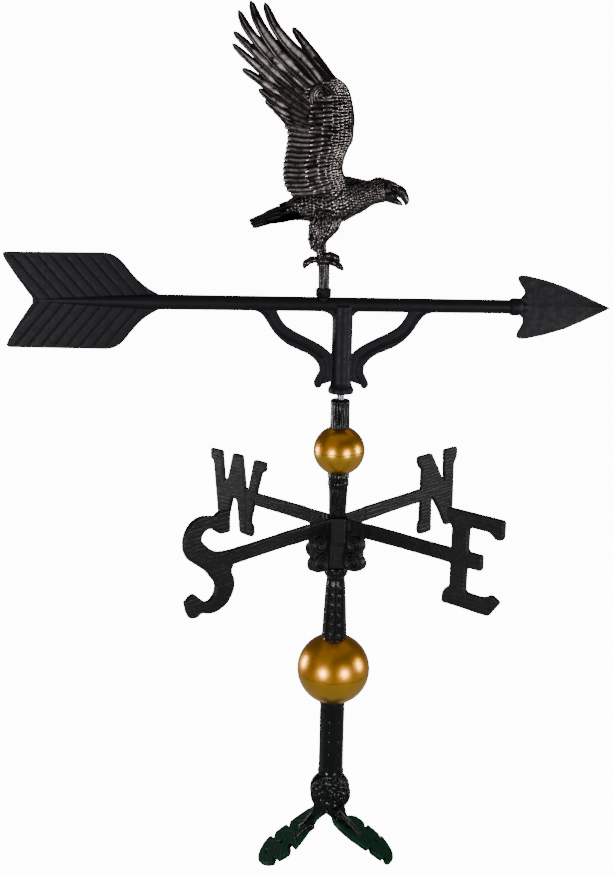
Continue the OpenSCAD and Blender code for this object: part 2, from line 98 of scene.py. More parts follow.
def _hash(i, j, k, seed):
    """A fixed number from 0 to 1 for a cell of a grid."""
    n = (i * 374761393 + j * 668265263 + k * 2147483647 + seed * 1274126177) & 0x7FFFFFFF
    n = ((n ^ (n >> 13)) * 1274126177) & 0x7FFFFFFF
    n = ((n ^ (n >> 16)) * 668265263) & 0x7FFFFFFF
    return (n & 0xFFFF) / 65535.0


def noise(p, size, seed=0):
    """Smooth noise from -1 to 1 at points p, with features of the given size (a number or three)."""
    q = np.asarray(p, float) / np.asarray(size, float)
    cell = np.floor(q).astype(np.int64)
    f = q - cell
    f = f * f * (3 - 2 * f)
    total = 0
    for a in (0, 1):
        for b in (0, 1):
            for c in (0, 1):
                w = (f[:, 0] if a else 1 - f[:, 0]) * (f[:, 1] if b else 1 - f[:, 1])
                w = w * (f[:, 2] if c else 1 - f[:, 2])
                total = total + w * _hash(cell[:, 0] + a, cell[:, 1] + b, cell[:, 2] + c, seed)
    return total * 2 - 1


def cells(p, size, seed=0):
    """Distance to the nearest of scattered points, in units of their spacing."""
    q = np.asarray(p, float) / size
    cell = np.floor(q).astype(np.int64)
    best = np.full(len(q), 9.0)
    for a in (-1, 0, 1):
        for b in (-1, 0, 1):
            for c in (-1, 0, 1):
                i, j, k = cell[:, 0] + a, cell[:, 1] + b, cell[:, 2] + c
                dx = i + _hash(i, j, k, seed) - q[:, 0]
                dy = j + _hash(i, j, k, seed + 7) - q[:, 1]
                dz = k + _hash(i, j, k, seed + 13) - q[:, 2]
                best = np.minimum(best, np.sqrt(dx * dx + dy * dy + dz * dz))
    return best


def smooth_step(x, a, b):
    t = np.clip((x - a) / (b - a), 0, 1)
    return t * t * (3 - 2 * t)


# ---- Mesh building, in millimetres ----

def shifted(x=0.0, y=0.0, z=0.0):
    """A move that slides points."""
    return lambda v: v + np.array([x, y, z])


def mirrored(points, side, z=0.0):
    """Points drawn for the +Y side, put on the given side (1 or -1) and raised by z."""
    return [[px, side * py, pz + z] for px, py, pz in points]


def turn(m):
    """The angles of m points round a circle."""
    return np.arange(m) * 2 * math.pi / m


EAGLE_LIFT = shifted(z=EAGLE_Z)


class Build:
    """Collects closed shells into one mesh."""

    def __init__(self):
        self.v, self.f, self.uv = [], [], []

    def add(self, verts, faces, uv=None, move=None):
        verts = np.asarray(verts, float)
        if move is not None:
            verts = move(verts)
        start = len(self.v)
        self.v.extend(map(tuple, verts))
        self.f.extend(tuple(i + start for i in face) for face in faces)
        self.uv.extend(uv if uv is not None else [(0.0, 0.0)] * len(verts))


def loft(build, rings, move=None, closed_path=False):
    """A closed tube through rings that all have the same number of points."""
    rings = np.asarray(rings, float)
    n, m = rings.shape[:2]
    verts = rings.reshape(-1, 3)
    faces = []
    for i in range(n if closed_path else n - 1):
        for j in range(m):
            a, b = i * m + j, i * m + (j + 1) % m
            c, d = ((i + 1) % n) * m + (j + 1) % m, ((i + 1) % n) * m + j
            faces.append((a, b, c, d))
    if not closed_path:
        verts = np.vstack([verts, rings[0].mean(0), rings[-1].mean(0)])
        for j in range(m):
            faces.append((n * m, (j + 1) % m, j))
            faces.append((n * m + 1, (n - 1) * m + j, (n - 1) * m + (j + 1) % m))
    build.add(verts, faces, move=move)


def lathe(build, profile, m=64, shape=None, centre=(0, 0), closed=False, move=None):
    """Turns a profile of (radius, z) about an upright axis. shape(angle, z) scales the radius."""
    angles = turn(m)
    rings = []
    for r, z in profile:
        k = shape(angles, z) if shape else np.ones(m)
        radius = np.maximum(r * k, 0.01)
        rings.append(np.stack([centre[0] + radius * np.cos(angles), centre[1] + radius * np.sin(angles),
                               np.full(m, float(z))], 1))
    loft(build, rings, move=move, closed_path=closed)


def tube(build, path, radii, m=20, squash=1.0, move=None):
    """A round bar along a path that doesn't run along Y; squash scales it along Y."""
    path = np.asarray(path, float)
    side = np.array([0.0, 1.0, 0.0])
    angles = turn(m)
    rings = []
    for i, p in enumerate(path):
        t = path[min(i + 1, len(path) - 1)] - path[max(i - 1, 0)]
        t = t / np.linalg.norm(t)
        a = side - t * side.dot(t)
        a = a / np.linalg.norm(a)
        b = np.cross(t, a)
        r = radii[i] if np.ndim(radii) else radii
        rings.append(p + r * (np.outer(np.cos(angles) * squash, a) + np.outer(np.sin(angles), b)))
    loft(build, rings, move=move)


def prism(build, outline, half, move=None):
    """A flat plate with an outline in (x, z), from y = -half to y = half."""
    pts = np.asarray(outline, float)
    area = 0.5 * np.sum(pts[:, 0] * np.roll(pts[:, 1], -1) - np.roll(pts[:, 0], -1) * pts[:, 1])
    if area < 0:
        pts = pts[::-1]
    n = len(pts)
    front = np.stack([pts[:, 0], np.full(n, -half), pts[:, 1]], 1)
    back = front + [0, 2 * half, 0]
    faces = [tuple(range(n)), tuple(range(2 * n - 1, n - 1, -1))]
    faces += [(j, j + n, (j + 1) % n + n, (j + 1) % n) for j in range(n)]
    build.add(np.vstack([front, back]), faces, move=move)


def bezier(a, b, c, d, n):
    """n + 1 points of a cubic curve from a to d."""
    u = np.linspace(0, 1, n + 1)[:, None]
    a, b, c, d = (np.asarray(p, float) for p in (a, b, c, d))
    return ((1 - u) ** 3 * a + 3 * u * (1 - u) ** 2 * b + 3 * u * u * (1 - u) * c + u ** 3 * d).tolist()


def arc(cx, cy, rx, ry, a0, a1, n):
    """n + 1 points of an ellipse about (cx, cy), from angle a0 to a1 in degrees."""
    t = np.radians(np.linspace(a0, a1, n + 1))
    return np.stack([cx + rx * np.cos(t), cy + ry * np.sin(t)], 1).tolist()


def fillet(points, radius):
    """Rounds the corners of an outline, with three points at each."""
    pts = [np.array(p[:2], float) for p in points]
    out = []
    for i, p in enumerate(pts):
        before, after = pts[i - 1] - p, pts[(i + 1) % len(pts)] - p
        la, lb = np.linalg.norm(before), np.linalg.norm(after)
        r = min(radius, la * 0.45, lb * 0.45)
        a, b = p + before / la * r, p + after / lb * r
        for u in (0.0, 0.5, 1.0):
            out.append(((1 - u) ** 2 * a + 2 * u * (1 - u) * p + u * u * b).tolist())
    return out


def spline(points, n):
    """A smooth curve of n + 1 points through the given ones."""
    pts = np.asarray(points, float)
    ends = np.vstack([2 * pts[0] - pts[1], pts, 2 * pts[-1] - pts[-2]])
    out = []
    for u in np.linspace(0, len(pts) - 1, n + 1):
        i = min(int(u), len(pts) - 2)
        t = u - i
        p0, p1, p2, p3 = ends[i:i + 4]
        out.append(0.5 * (2 * p1 + (p2 - p0) * t + (2 * p0 - 5 * p1 + 4 * p2 - p3) * t * t
                          + (3 * p1 - p0 - 3 * p2 + p3) * t ** 3))
    return np.array(out)


def distance_to_path(p, path):
    """Distance from 2-D points to a polyline."""
    path = np.asarray(path, float)
    best = np.full(len(p), 1e9)
    for a, b in zip(path[:-1], path[1:]):
        d = b - a
        t = np.clip(((p - a) @ d) / max(d @ d, 1e-9), 0, 1)
        best = np.minimum(best, np.linalg.norm(p - (a + t[:, None] * d), axis=1))
    return best


def to_object(name, build, smooth):
    """Makes the mesh, with edges sharper than smooth degrees kept sharp, or none where smooth is 0."""
    mesh = bpy.data.meshes.new(name)
    mesh.from_pydata([(x * MM, y * MM, z * MM) for x, y, z in build.v], [], build.f)
    layer = mesh.uv_layers.new(name="feather")
    corner = np.zeros(len(mesh.loops), np.int32)
    mesh.loops.foreach_get("vertex_index", corner)
    layer.data.foreach_set("uv", np.array(build.uv, np.float32)[corner].ravel())
    obj = bpy.data.objects.new(name, mesh)
    bpy.context.scene.collection.objects.link(obj)
    shells = bmesh.new()
    shells.from_mesh(mesh)
    bmesh.ops.recalc_face_normals(shells, faces=shells.faces)
    shells.to_mesh(mesh)
    shells.free()
    mesh.shade_smooth()
    if smooth:
        mesh.set_sharp_from_angle(angle=math.radians(smooth))
    return obj


def apply_modifiers(obj):
    """Turns the object's modifiers into its mesh."""
    bpy.context.view_layer.update()
    graph = bpy.context.evaluated_depsgraph_get()
    mesh = bpy.data.meshes.new_from_object(obj.evaluated_get(graph))
    old = obj.data
    obj.modifiers.clear()
    obj.data = mesh
    bpy.data.meshes.remove(old)
    mesh.name = obj.name


def read(mesh, what):
    """The places or the normals of a mesh's points, one row each."""
    values = np.zeros(len(mesh.vertices) * 3)
    mesh.vertices.foreach_get(what, values)
    return values.reshape(-1, 3)


def cast(name, build, relief, voxel):
    """Welds overlapping shells into one cast skin, on a grid of voxel mm. relief(points, normals) returns
    how far each point stands out, in mm, or new points."""
    obj = to_object(name, build, smooth=0)
    mod = obj.modifiers.new("weld", "REMESH")
    mod.mode = "VOXEL"
    mod.voxel_size = voxel * VOXEL * MM
    mod = obj.modifiers.new("soften", "SMOOTH")
    mod.factor = 0.5
    mod.iterations = 3
    apply_modifiers(obj)
    mesh = obj.data
    points, normals = read(mesh, "co") / MM, read(mesh, "normal")
    out = relief(points, normals)
    if np.ndim(out) == 1:
        out = points + normals * out[:, None]
    mesh.vertices.foreach_set("co", (out * MM).ravel())
    mesh.update()
    mesh.shade_smooth()
    return obj


def piece(obj, body, material, node):
    """Gives an object its look, the body it rides on and the CAD node it stands for."""
    obj.data.materials.clear()
    obj.data.materials.append(material)
    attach(obj, body)
    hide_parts(node)


# ---- Materials ----

class Nodes:
    """A small helper for one node material."""

    def __init__(self, name):
        self.material = bpy.data.materials.new(name)
        self.material.use_nodes = True
        self.tree = self.material.node_tree
        self.shader = self.tree.nodes["Principled BSDF"]
        self.place = self.tree.nodes.new("ShaderNodeTexCoord")

    def node(self, kind, **settings):
        n = self.tree.nodes.new(kind)
        for key, value in settings.items():
            if key in n.inputs:
                n.inputs[key].default_value = value
            else:
                setattr(n, key, value)
        return n

    def link(self, a, b):
        self.tree.links.new(a, b)

    def math(self, operation, *sources):
        """A sum on sockets or plain numbers."""
        n = self.node("ShaderNodeMath", operation=operation)
        for at, source in enumerate(sources):
            if isinstance(source, float):
                n.inputs[at].default_value = source
            else:
                self.link(source, n.inputs[at])
        return n.outputs[0]

    def mix(self, amount, colour, other):
        """Blends the socket colour towards the plain colour other."""
        n = self.node("ShaderNodeMix", data_type="RGBA")
        n.inputs[7].default_value = (*other, 1)
        self.link(amount, n.inputs[0])
        self.link(colour, n.inputs[6])
        return n.outputs[2]

    def noise(self, scale, detail, rough=0.55, stretch=(1, 1, 1)):
        mapping = self.node("ShaderNodeMapping")
        mapping.inputs["Scale"].default_value = stretch
        self.link(self.place.outputs["Object"], mapping.inputs["Vector"])
        n = self.node("ShaderNodeTexNoise", Scale=scale, Detail=detail, Roughness=rough)
        self.link(mapping.outputs["Vector"], n.inputs["Vector"])
        return n.outputs["Fac"]

    def ramp(self, source, low, high, a, b):
        """Maps values from a to b onto numbers from low to high."""
        n = self.node("ShaderNodeMapRange")
        n.inputs["From Min"].default_value = a
        n.inputs["From Max"].default_value = b
        n.inputs["To Min"].default_value = low
        n.inputs["To Max"].default_value = high
        self.link(source, n.inputs["Value"])
        return n.outputs["Result"]

    def colours(self, source, stops):
        n = self.node("ShaderNodeValToRGB")
        ramp = n.color_ramp
        while len(ramp.elements) < len(stops):
            ramp.elements.new(0.5)
        for element, (at, colour) in zip(ramp.elements, stops):
            element.position = at
            element.color = (*colour, 1)
        self.link(source, n.inputs["Fac"])
        return n.outputs["Color"]

    def bump(self, *layers):
        """Each layer is (height, distance in mm, strength)."""
        last = None
        for height, distance, strength in layers:
            n = self.node("ShaderNodeBump", Distance=distance * MM, Strength=strength)
            self.link(height, n.inputs["Height"])
            if last is not None:
                self.link(last, n.inputs["Normal"])
            last = n.outputs["Normal"]
        self.link(last, self.shader.inputs["Normal"])

    def set(self, **values):
        for key, value in values.items():
            self.shader.inputs[key.replace("_", " ")].default_value = value

    def edge_wear_and_highlight(self, dark, bright, amount):
        """Paints raised edges brighter: part wear, part painted highlight."""
        n = self.node("ShaderNodeNewGeometry")
        edge = self.ramp(n.outputs["Pointiness"], 0.0, 1.0, 0.48, 0.58)
        return self.mix(self.math("MULTIPLY", edge, amount), dark, bright)


def black_coat(name, low, high, rough, grain, grain_mm, specular):
    """Paint between two dark colours, with a fine grain of grain_mm and of strength grain."""
    m = Nodes(name)
    colour = m.colours(m.noise(38, 5), [(0.3, low), (0.7, high)])
    # Raised edges painted lighter, part wear and part painted highlight
    m.link(m.edge_wear_and_highlight(colour, tuple(c * 2.6 for c in high), 0.45), m.shader.inputs["Base Color"])
    m.link(m.ramp(m.noise(130, 3), rough - 0.07, rough + 0.1, 0.3, 0.7), m.shader.inputs["Roughness"])
    m.bump((m.noise(420, 3), grain_mm, grain), (m.noise(1900, 2), grain_mm * 0.35, grain * 0.8))
    m.set(Specular_IOR_Level=specular)
    return m.material


COLUMN_TONES = ((0.0006, 0.001, 0.0008), (0.0022, 0.003, 0.003))
BLACK = black_coat("satin_black", (0.0022, 0.002, 0.0024), (0.006, 0.0056, 0.0062), 0.44, 0.45, 0.4, 0.2)
ARROW_BLACK = black_coat("arrow_black", (0.0032, 0.003, 0.0044), (0.0058, 0.0055, 0.0076),
                         0.5, 0.2, 0.2, 0.14)
COLUMN_BLACK = black_coat("column_black", *COLUMN_TONES, 0.22, 0.1, 0.25, 0.24)
SLEEVE_BLACK = black_coat("sleeve_black", *COLUMN_TONES, 0.24, 0.1, 0.25, 0.16)
LEAF_GREEN = black_coat("leaf_green", (0.0006, 0.014, 0.0058), (0.001, 0.02, 0.0076), 0.42, 0.15, 0.2, 0.1)
STEM_BLACK = black_coat("stem_black", (0.0008, 0.0007, 0.0007), (0.0026, 0.0022, 0.0021),
                        0.24, 0.1, 0.2, 0.3)
NUT_BLACK = black_coat("nut_black", (0.001, 0.0009, 0.0009), (0.003, 0.0027, 0.0026), 0.55, 0.2, 0.2, 0.08)

LIGHT_POOL_CENTRE = (-0.086, 0, (1032 + EAGLE_Z) * MM)    # middle of a painted pool of light on the wing, where the painted highlight is strongest
RUB_HIGHLIGHT_TONE = np.array((0.17, 0.147, 0.14))      # tone of the painted highlight, partly rubbed bronze
BARB_SLANT, BARB_PITCH = -5.0, 2.6


def bronze_coat(name, feathered, barbs, shade, rub_highlight=1.0, light_pool_falloff=0.0, metal=0.9):
    """Dark cast bronze. On feathers a painted highlight, partly rubbed bronze, runs along the middle of each
    one and is strongest in a painted pool of light on the wing, losing the given share away from it;
    elsewhere raised edges are painted lighter, part wear and part painted highlight."""
    m = Nodes(name)
    patches = m.noise(55, 5, 0.6)
    tones = ((0.25, (0.002, 0.0018, 0.0019)), (0.5, (0.006, 0.0048, 0.0046)),
             (0.72, (0.022, 0.0115, 0.0095)), (0.9, (0.009, 0.008, 0.008)))
    colour = m.colours(patches, [(at, tuple(c * shade for c in tone)) for at, tone in tones])
    layers = [(m.noise(420, 2), 0.12, 0.14)]
    if feathered:
        uv = m.node("ShaderNodeUVMap", uv_map="feather")
        split = m.node("ShaderNodeSeparateXYZ")
        m.link(uv.outputs["UV"], split.inputs["Vector"])
        across = m.math("ABSOLUTE", split.outputs["Y"])
        # Painted highlight, partly rubbed bronze, along the middle of each feather, fading towards its edges
        middle = m.ramp(across, 1.0, 0.0, 0.1, 0.5 if barbs else 0.62)
        rub_highlight_mask = m.math("MULTIPLY", middle, m.ramp(m.noise(85, 4, 0.65), 0.0, 1.0, 0.36, 0.66))
        # A painted pool of light on the wing: the highlight is full near its centre and loses the given share
        # away from it
        away = m.node("ShaderNodeVectorMath", operation="DISTANCE")
        away.inputs[1].default_value = LIGHT_POOL_CENTRE
        m.link(m.place.outputs["Object"], away.inputs[0])
        light_pool = m.ramp(away.outputs["Value"], 1.0, 1.0 - light_pool_falloff, 0.03, 0.085)
        colour = m.mix(m.math("MULTIPLY", rub_highlight_mask, light_pool), colour, RUB_HIGHLIGHT_TONE * rub_highlight)
        if barbs:
            slant = m.math("MULTIPLY_ADD", across, BARB_SLANT, split.outputs["X"])
            layers.append((m.math("SINE", m.math("MULTIPLY", slant, BARB_PITCH)), 0.1, 0.25))
    else:
        # Raised edges painted lighter, part wear and part painted highlight
        colour = m.edge_wear_and_highlight(colour, (0.16 * shade, 0.14 * shade, 0.135 * shade), 0.25)
    m.link(colour, m.shader.inputs["Base Color"])
    m.link(m.ramp(m.noise(240, 3), 0.2, 0.34, 0.3, 0.7), m.shader.inputs["Roughness"])
    m.bump(*layers)
    m.set(Metallic=metal, Specular_IOR_Level=0.4, Coat_Weight=0.35, Coat_Roughness=0.15)
    return m.material


BRONZE = bronze_coat("bronze_flight", True, True, 0.6, 5.4, 0.62, 0.45)
BRONZE_COVERTS = bronze_coat("bronze_coverts", True, False, 1.0, 2.2)
BRONZE_PLUMAGE = bronze_coat("bronze_plumage", True, False, 0.9, 1.4)
BRONZE_SMOOTH = bronze_coat("bronze_smooth", False, False, 1.6)
BRONZE_DARK = bronze_coat("bronze_dark", True, True, 0.6, 1.2)


def gold_paint(name, low, high):
    """Satin gold between two tones."""
    m = Nodes(name)
    m.link(m.colours(m.noise(30, 4), [(0.3, low), (0.7, high)]), m.shader.inputs["Base Color"])
    m.link(m.ramp(m.noise(90, 3), 0.28, 0.31, 0.3, 0.7), m.shader.inputs["Roughness"])
    m.set(Metallic=1.0, Coat_Weight=0.1, Coat_Roughness=0.28)
    return m.material


def turned_metal(name, colour, rough):
    """Bare metal with the fine rings that a lathe leaves."""
    m = Nodes(name)
    lines = m.noise(60, 4, 0.6, (1, 1, 40))
    darker = tuple(c * 0.72 for c in colour)
    m.link(m.colours(lines, [(0.3, darker), (0.7, colour)]), m.shader.inputs["Base Color"])
    m.link(m.ramp(lines, rough - 0.08, rough + 0.1, 0.3, 0.7), m.shader.inputs["Roughness"])
    m.bump((lines, 0.05, 0.3))
    m.set(Metallic=1.0)
    return m.material


# One gold in two tints: the tops redder as painted shade, the bottoms yellower as painted light reflected
# from below
GOLD_TOP_SHADE_TINT = gold_paint("satin_gold_top_painted_shade", (0.74, 0.305, 0.018), (0.82, 0.36, 0.026))
GOLD_BOTTOM_LIGHT_TINT = gold_paint("satin_gold_bottom_painted_light", (0.58, 0.31, 0.026), (0.66, 0.36, 0.036))
STEEL = turned_metal("turned_steel", (0.2, 0.203, 0.21), 0.36)
BLACK_STEEL = turned_metal("black_steel", (0.06, 0.06, 0.062), 0.36)
BRASS = turned_metal("turned_brass", (0.66, 0.46, 0.2), 0.28)


# ---- Gold balls, each in two shells ----

def half_ball(name, node, z, r, side):
    """One half, above the seam (side 1) or below it (-1), with its rim drawn in at the seam."""
    wall, hole, lip, swell = 2.0, 7.5, 0.4, 1.02
    r += 0.5
    end = math.acos(hole / r)
    outer = [(r * math.cos(a), z + side * r * math.sin(a)) for a in np.linspace(0.02, end, 40)]
    inner = [((r - wall) * math.cos(a), z + side * (r - wall) * math.sin(a))
             for a in np.linspace(end, 0.02, 24)]
    rim = [(r - wall, z + side * 0.02), (r - lip * 2.6, z + side * 0.02),
           (r - lip * 1.8, z + side * lip * 0.6), (r - lip * 0.15, z + side * lip * 0.8)]
    b = Build()
    lathe(b, [(swell * radius, height) for radius, height in rim + outer + inner], m=128, closed=True)
    # Upper halves take the redder tint of painted shade, lower halves the yellower tint of painted light from
    # below
    gold = GOLD_TOP_SHADE_TINT if side > 0 else GOLD_BOTTOM_LIGHT_TINT
    piece(to_object(name, b, smooth=35), "mast", gold, node)


half_ball("lower_ball_lower_shell", "lower_ball_bottom", LOWER_BALL_Z, LOWER_BALL_R, -1)
half_ball("lower_ball_upper_shell", "lower_ball_top", LOWER_BALL_Z, LOWER_BALL_R, 1)
half_ball("upper_ball_lower_shell", "upper_ball_bottom", UPPER_BALL_Z, UPPER_BALL_R, -1)
half_ball("upper_ball_upper_shell", "upper_ball_top", UPPER_BALL_Z, UPPER_BALL_R, 1)


# ---- Mast columns ----

BASE_FACET = math.radians(-104)         # direction of a facet of the base column
MID_FACET = math.radians(-115)          # and of the middle column
TONGUE_HALF = 3.2                       # half the thickness of the tongue between the feet


def octagon(angles, facet):
    """Radius of an eight-sided bar with softened corners, for a half width of 1."""
    power, swell = 22, 1.02             # a higher power gives sharper corners
    k = np.zeros(len(angles))
    for i in range(8):
        k += np.maximum(np.cos(angles - facet - i * math.pi / 4), 0) ** power
    return k ** (-1 / power) * swell


def octagon_for(facet, z0, z1, round_z0, round_z1):
    """Eight-sided between z0 and z1, fading to round at round_z0 and round_z1."""
    def shape(angles, z):
        w = float(smooth_step(z, round_z0, z0) * (1 - smooth_step(z, z1, round_z1)))
        return 1 + (octagon(angles, facet) - 1) * w
    return shape


def stud(build, angle, z, radius, wide, tall, high):
    """A raised boss on a facet."""
    n, m = 5, 12
    t = turn(m)
    out = np.array([math.cos(angle), math.sin(angle), 0])
    across = np.array([-math.sin(angle), math.cos(angle), 0])
    rings = []
    for i in range(n):
        a = math.pi / 2 * i / (n - 0.5)
        rings.append(out * (radius - 1 + (high + 1) * math.sin(a)) + np.array([0, 0, z])
                     + np.outer(np.cos(t) * wide * math.cos(a), across)
                     + np.outer(np.sin(t) * tall * math.cos(a), np.array([0, 0, 1])))
    loft(build, rings)


def ball_seat(points, ball_z, ball_r):
    """Pushes points that would lie inside a ball out to its skin."""
    gap = 0.5
    centre = np.array([0, 0, ball_z])
    d = points - centre
    r = np.linalg.norm(d, axis=1)
    inside = r < ball_r + gap
    out = points.copy()
    out[inside] = centre + d[inside] / r[inside, None] * (ball_r + gap)
    return out


def build_base_column():
    """The studded lower column with its collar and the tongue that the feet hold."""
    b = Build()
    top = LOWER_BALL_Z - 44             # inside the ball's skin
    prof = [(0, COLUMN_Z), (18.6, COLUMN_Z), (19.6, COLUMN_Z + 1.5), (19.2, COLUMN_Z + 4),
            (17.6, COLUMN_Z + 8), (17.6, COLUMN_Z + 13), (17.4, COLUMN_Z + 19), (17.2, COLUMN_Z + 50),
            (17.3, top - 34), (17.5, top - 20), (17.7, top - 15), (18.4, top - 11.5), (19.0, top - 8),
            (19.0, top), (0, top)]
    lathe(b, prof, m=72, shape=octagon_for(BASE_FACET, COLUMN_Z + 13, top - 22, COLUMN_Z + 4, top - 14))
    for i in range(8):
        a = BASE_FACET + i * math.pi / 4
        for z in (84, 106, 125.5, 140.5, 157):
            stud(b, a, z, 17.1, 2.4, 2.8, 1.6)
        for z in (top - 9.5, top - 3.5):
            stud(b, a + math.pi / 8, z, 18.4, 3.4, 2.2, 0.7)
    tongue = arc(0, PIVOT_Z, EYE_R - 8.3, EYE_R - 8.3, -215, 35, 40)
    prism(b, [[-15.8, COLUMN_Z + 3]] + tongue + [[15.8, COLUMN_Z + 3]], TONGUE_HALF)

    def relief(p, n):
        out = p.copy()
        above = p[:, 2] > COLUMN_Z + 2
        bark = 0.1 * noise(p, (4, 4, 10), 3) + 0.03 * noise(p, 2.6, 4)
        leaf = np.where(p[:, 2] > top - 14, 0.35 * noise(p, 2.6, 5), 0)
        out += n * np.where(above, bark + leaf, 0)[:, None]
        rim = (np.abs(p[:, 2] - COLUMN_Z) < 2.5) & (np.abs(p[:, 1]) > 4)
        out[rim, 2] = np.maximum(out[rim, 2], COLUMN_Z)
        below = p[:, 2] < COLUMN_Z - 0.5
        out[below, 1] = np.clip(out[below, 1], -TONGUE_HALF, TONGUE_HALF)
        return ball_seat(out, LOWER_BALL_Z, LOWER_BALL_R)

    return cast("base_column_casting", b, relief, voxel=0.85)


def build_middle_column():
    """The tapered, studded column between the lower ball and the hub."""
    b = Build()
    z0 = LOWER_BALL_Z + math.sqrt(LOWER_BALL_R ** 2 - 17.5 ** 2)
    height = HUB_Z - z0
    prof = [(0, z0 - 3), (17.4, z0 - 3), (17.2, z0 + 4), (16.6, z0 + 12), (15.2, z0 + 45),
            (13.2, z0 + height - 26), (12.6, z0 + height - 19), (13.6, z0 + height - 15.5),
            (16.2, z0 + height - 12), (17, z0 + height - 7), (17, HUB_Z - 0.6), (0, HUB_Z - 0.6)]
    lathe(b, prof, m=72, shape=octagon_for(MID_FACET, z0 + 2, z0 + height - 24, z0 - 4, z0 + height - 15))
    for i in range(8):
        a = MID_FACET + i * math.pi / 4
        for z in (z0 + 8, z0 + 23.5, z0 + 38, z0 + 52.5, z0 + 67, z0 + 79.5):
            r = 17 - 4.2 * (z - z0) / (height - 20)
            stud(b, a, z, r, 2.9, 3.5, 2.0)
        stud(b, a + math.pi / 8, HUB_Z - 7, 16.6, 4.2, 5, 1.0)

    def relief(p, n):
        bark = 0.09 * noise(p, (4, 4, 9), 13) + 0.02 * noise(p, 2.6, 14)
        out = p + n * np.where(p[:, 2] < HUB_Z - 1.5, bark, 0)[:, None]
        out[:, 2] = np.minimum(out[:, 2], HUB_Z)
        return ball_seat(out, LOWER_BALL_Z, LOWER_BALL_R)

    return cast("middle_column_casting", b, relief, voxel=0.85)


def flutes(count, depth, seed):
    """Irregular upright ridges like bark."""
    def shape(angles, z):
        wave = 0.5 + 0.5 * np.cos(angles * count + 1.3 * math.sin(z / 9.0 + seed))
        return 1 - depth * (1 - wave) ** 2
    return shape


def build_lower_sleeve():
    b = Build()
    z0, z1 = HUB_TOP, SLEEVE_TOP
    prof = [(0, z0 + 0.1), (11.9, z0 + 0.1), (12.5, z0 + 8), (13.7, z1 - 20)]
    lathe(b, prof + [(0, z1 - 20)], m=96, shape=flutes(13, 0.1, 1.0))
    prof = [(0, z1 - 21), (13.5, z1 - 21), (14.9, z1 - 18.5), (15.2, z1 - 14.5), (14.4, z1 - 11.5),
            (13.4, z1 - 10.5), (14.5, z1 - 9.5), (15.5, z1 - 6), (15.2, z1 - 2), (14, z1 + 1), (0, z1 + 1)]
    lathe(b, prof, m=96, shape=flutes(13, 0.05, 1.0))

    def relief(p, n):
        bark = 0.24 * noise(p, (2.6, 2.6, 14), 21) + 0.06 * noise(p, (2, 2, 5), 22)
        out = p + n * np.where(p[:, 2] > z0 + 1.2, bark, 0)[:, None]
        out[:, 2] = np.maximum(out[:, 2], z0)
        return ball_seat(out, UPPER_BALL_Z, UPPER_BALL_R)

    return cast("lower_sleeve_casting", b, relief, voxel=0.7)


def build_upper_sleeve():
    b = Build()
    z0, z1 = UPPER_BALL_Z + math.sqrt(UPPER_BALL_R ** 2 - 13 ** 2) - 2, TOP_SLEEVE_Z
    prof = [(0, z0), (13.8, z0), (13.8, z0 + 6), (13.4, z1 - 7), (13.7, z1 - 4), (13.2, z1 - 1.4), (12, z1),
            (0, z1)]
    lathe(b, prof, m=96, shape=flutes(13, 0.07, 2.0))

    def relief(p, n):
        bark = 0.16 * noise(p, (2.6, 2.6, 14), 31) + 0.03 * noise(p, (2, 2, 5), 32)
        out = p + n * np.where(p[:, 2] < z1 - 2, bark, 0)[:, None]
        return ball_seat(out, UPPER_BALL_Z, UPPER_BALL_R)

    return cast("upper_sleeve_casting", b, relief, voxel=0.7)


piece(build_base_column(), "mast", COLUMN_BLACK, "base_column")
piece(build_middle_column(), "mast", COLUMN_BLACK, "middle_column")
piece(build_lower_sleeve(), "mast", COLUMN_BLACK, "lower_sleeve")
piece(build_upper_sleeve(), "mast", SLEEVE_BLACK, "upper_sleeve")


# ---- Compass bars ----

LETTER_E = [[183.5, -64], [184.5, -51], [188, -45], [194.5, -40], [194.5, 41], [189, 46], [185, 52],
            [185, 64], [269.5, 64], [269.5, 41], [264, 38], [258, 39.5], [250, 46], [222, 46], [218.5, 42],
            [218.5, 16], [221, 12], [241, 12], [241, -6], [238, -8], [221, -8], [217.5, -12], [217.5, -39],
            [221, -43], [240, -43.5], [250, -41], [257, -36], [269.5, -42], [254, -64]]
LETTER_N = [[187, 64], [187, 55], [191, 48], [198, 43], [198, -40], [194, -44], [194, -54], [197, -60],
            [203, -61], [226, -61], [223.5, -13], [226, -4], [249, -33], [264, -57], [268, -61], [284, -61],
            [281, 38], [284, 43], [288, 48], [288, 64], [256, 64], [259, 11], [254, 15], [220, 64]]
LETTER_W = [[258, 64], [258, 49.5], [251.5, 46], [250.5, 38], [241.7, -37], [241, -57], [238, -59],
            [221, -59], [219.5, -35], [211.3, -5], [203, -6], [199, -10], [194, -54], [192, -58],
            [169, -59], [166, -56], [166, -43], [170, -39], [171, -35], [164.3, -8], [158, 14], [151.3, 37],
            [149, 44.5], [140.3, 49], [140.3, 62], [164, 62], [175.5, 15], [183, 13], [190.3, 64],
            [208.7, 64], [218.7, 26], [226.5, 16], [229.5, 20], [234.3, 64]]
LETTER_S = ([[211, 37], [211, 65], [231, 65], [234, 61]] + arc(257, 36.5, 29, 29, 100, -50, 20)
            + [[250, -5]] + arc(248, -31, 14.5, 16, 150, 315, 16)
            + [[272, -30], [285, -37], [282, -50], [277, -60], [267, -62], [258, -58]]
            + arc(237, -34, 34, 29.5, 290, 150, 18)
            + [[208, -14], [204, -8], [204, 11], [220, 12], [232, 14], [245, 21]]
            + arc(246, 37, 13, 11.5, -15, 140, 12) + [[227, 38], [221, 37]])


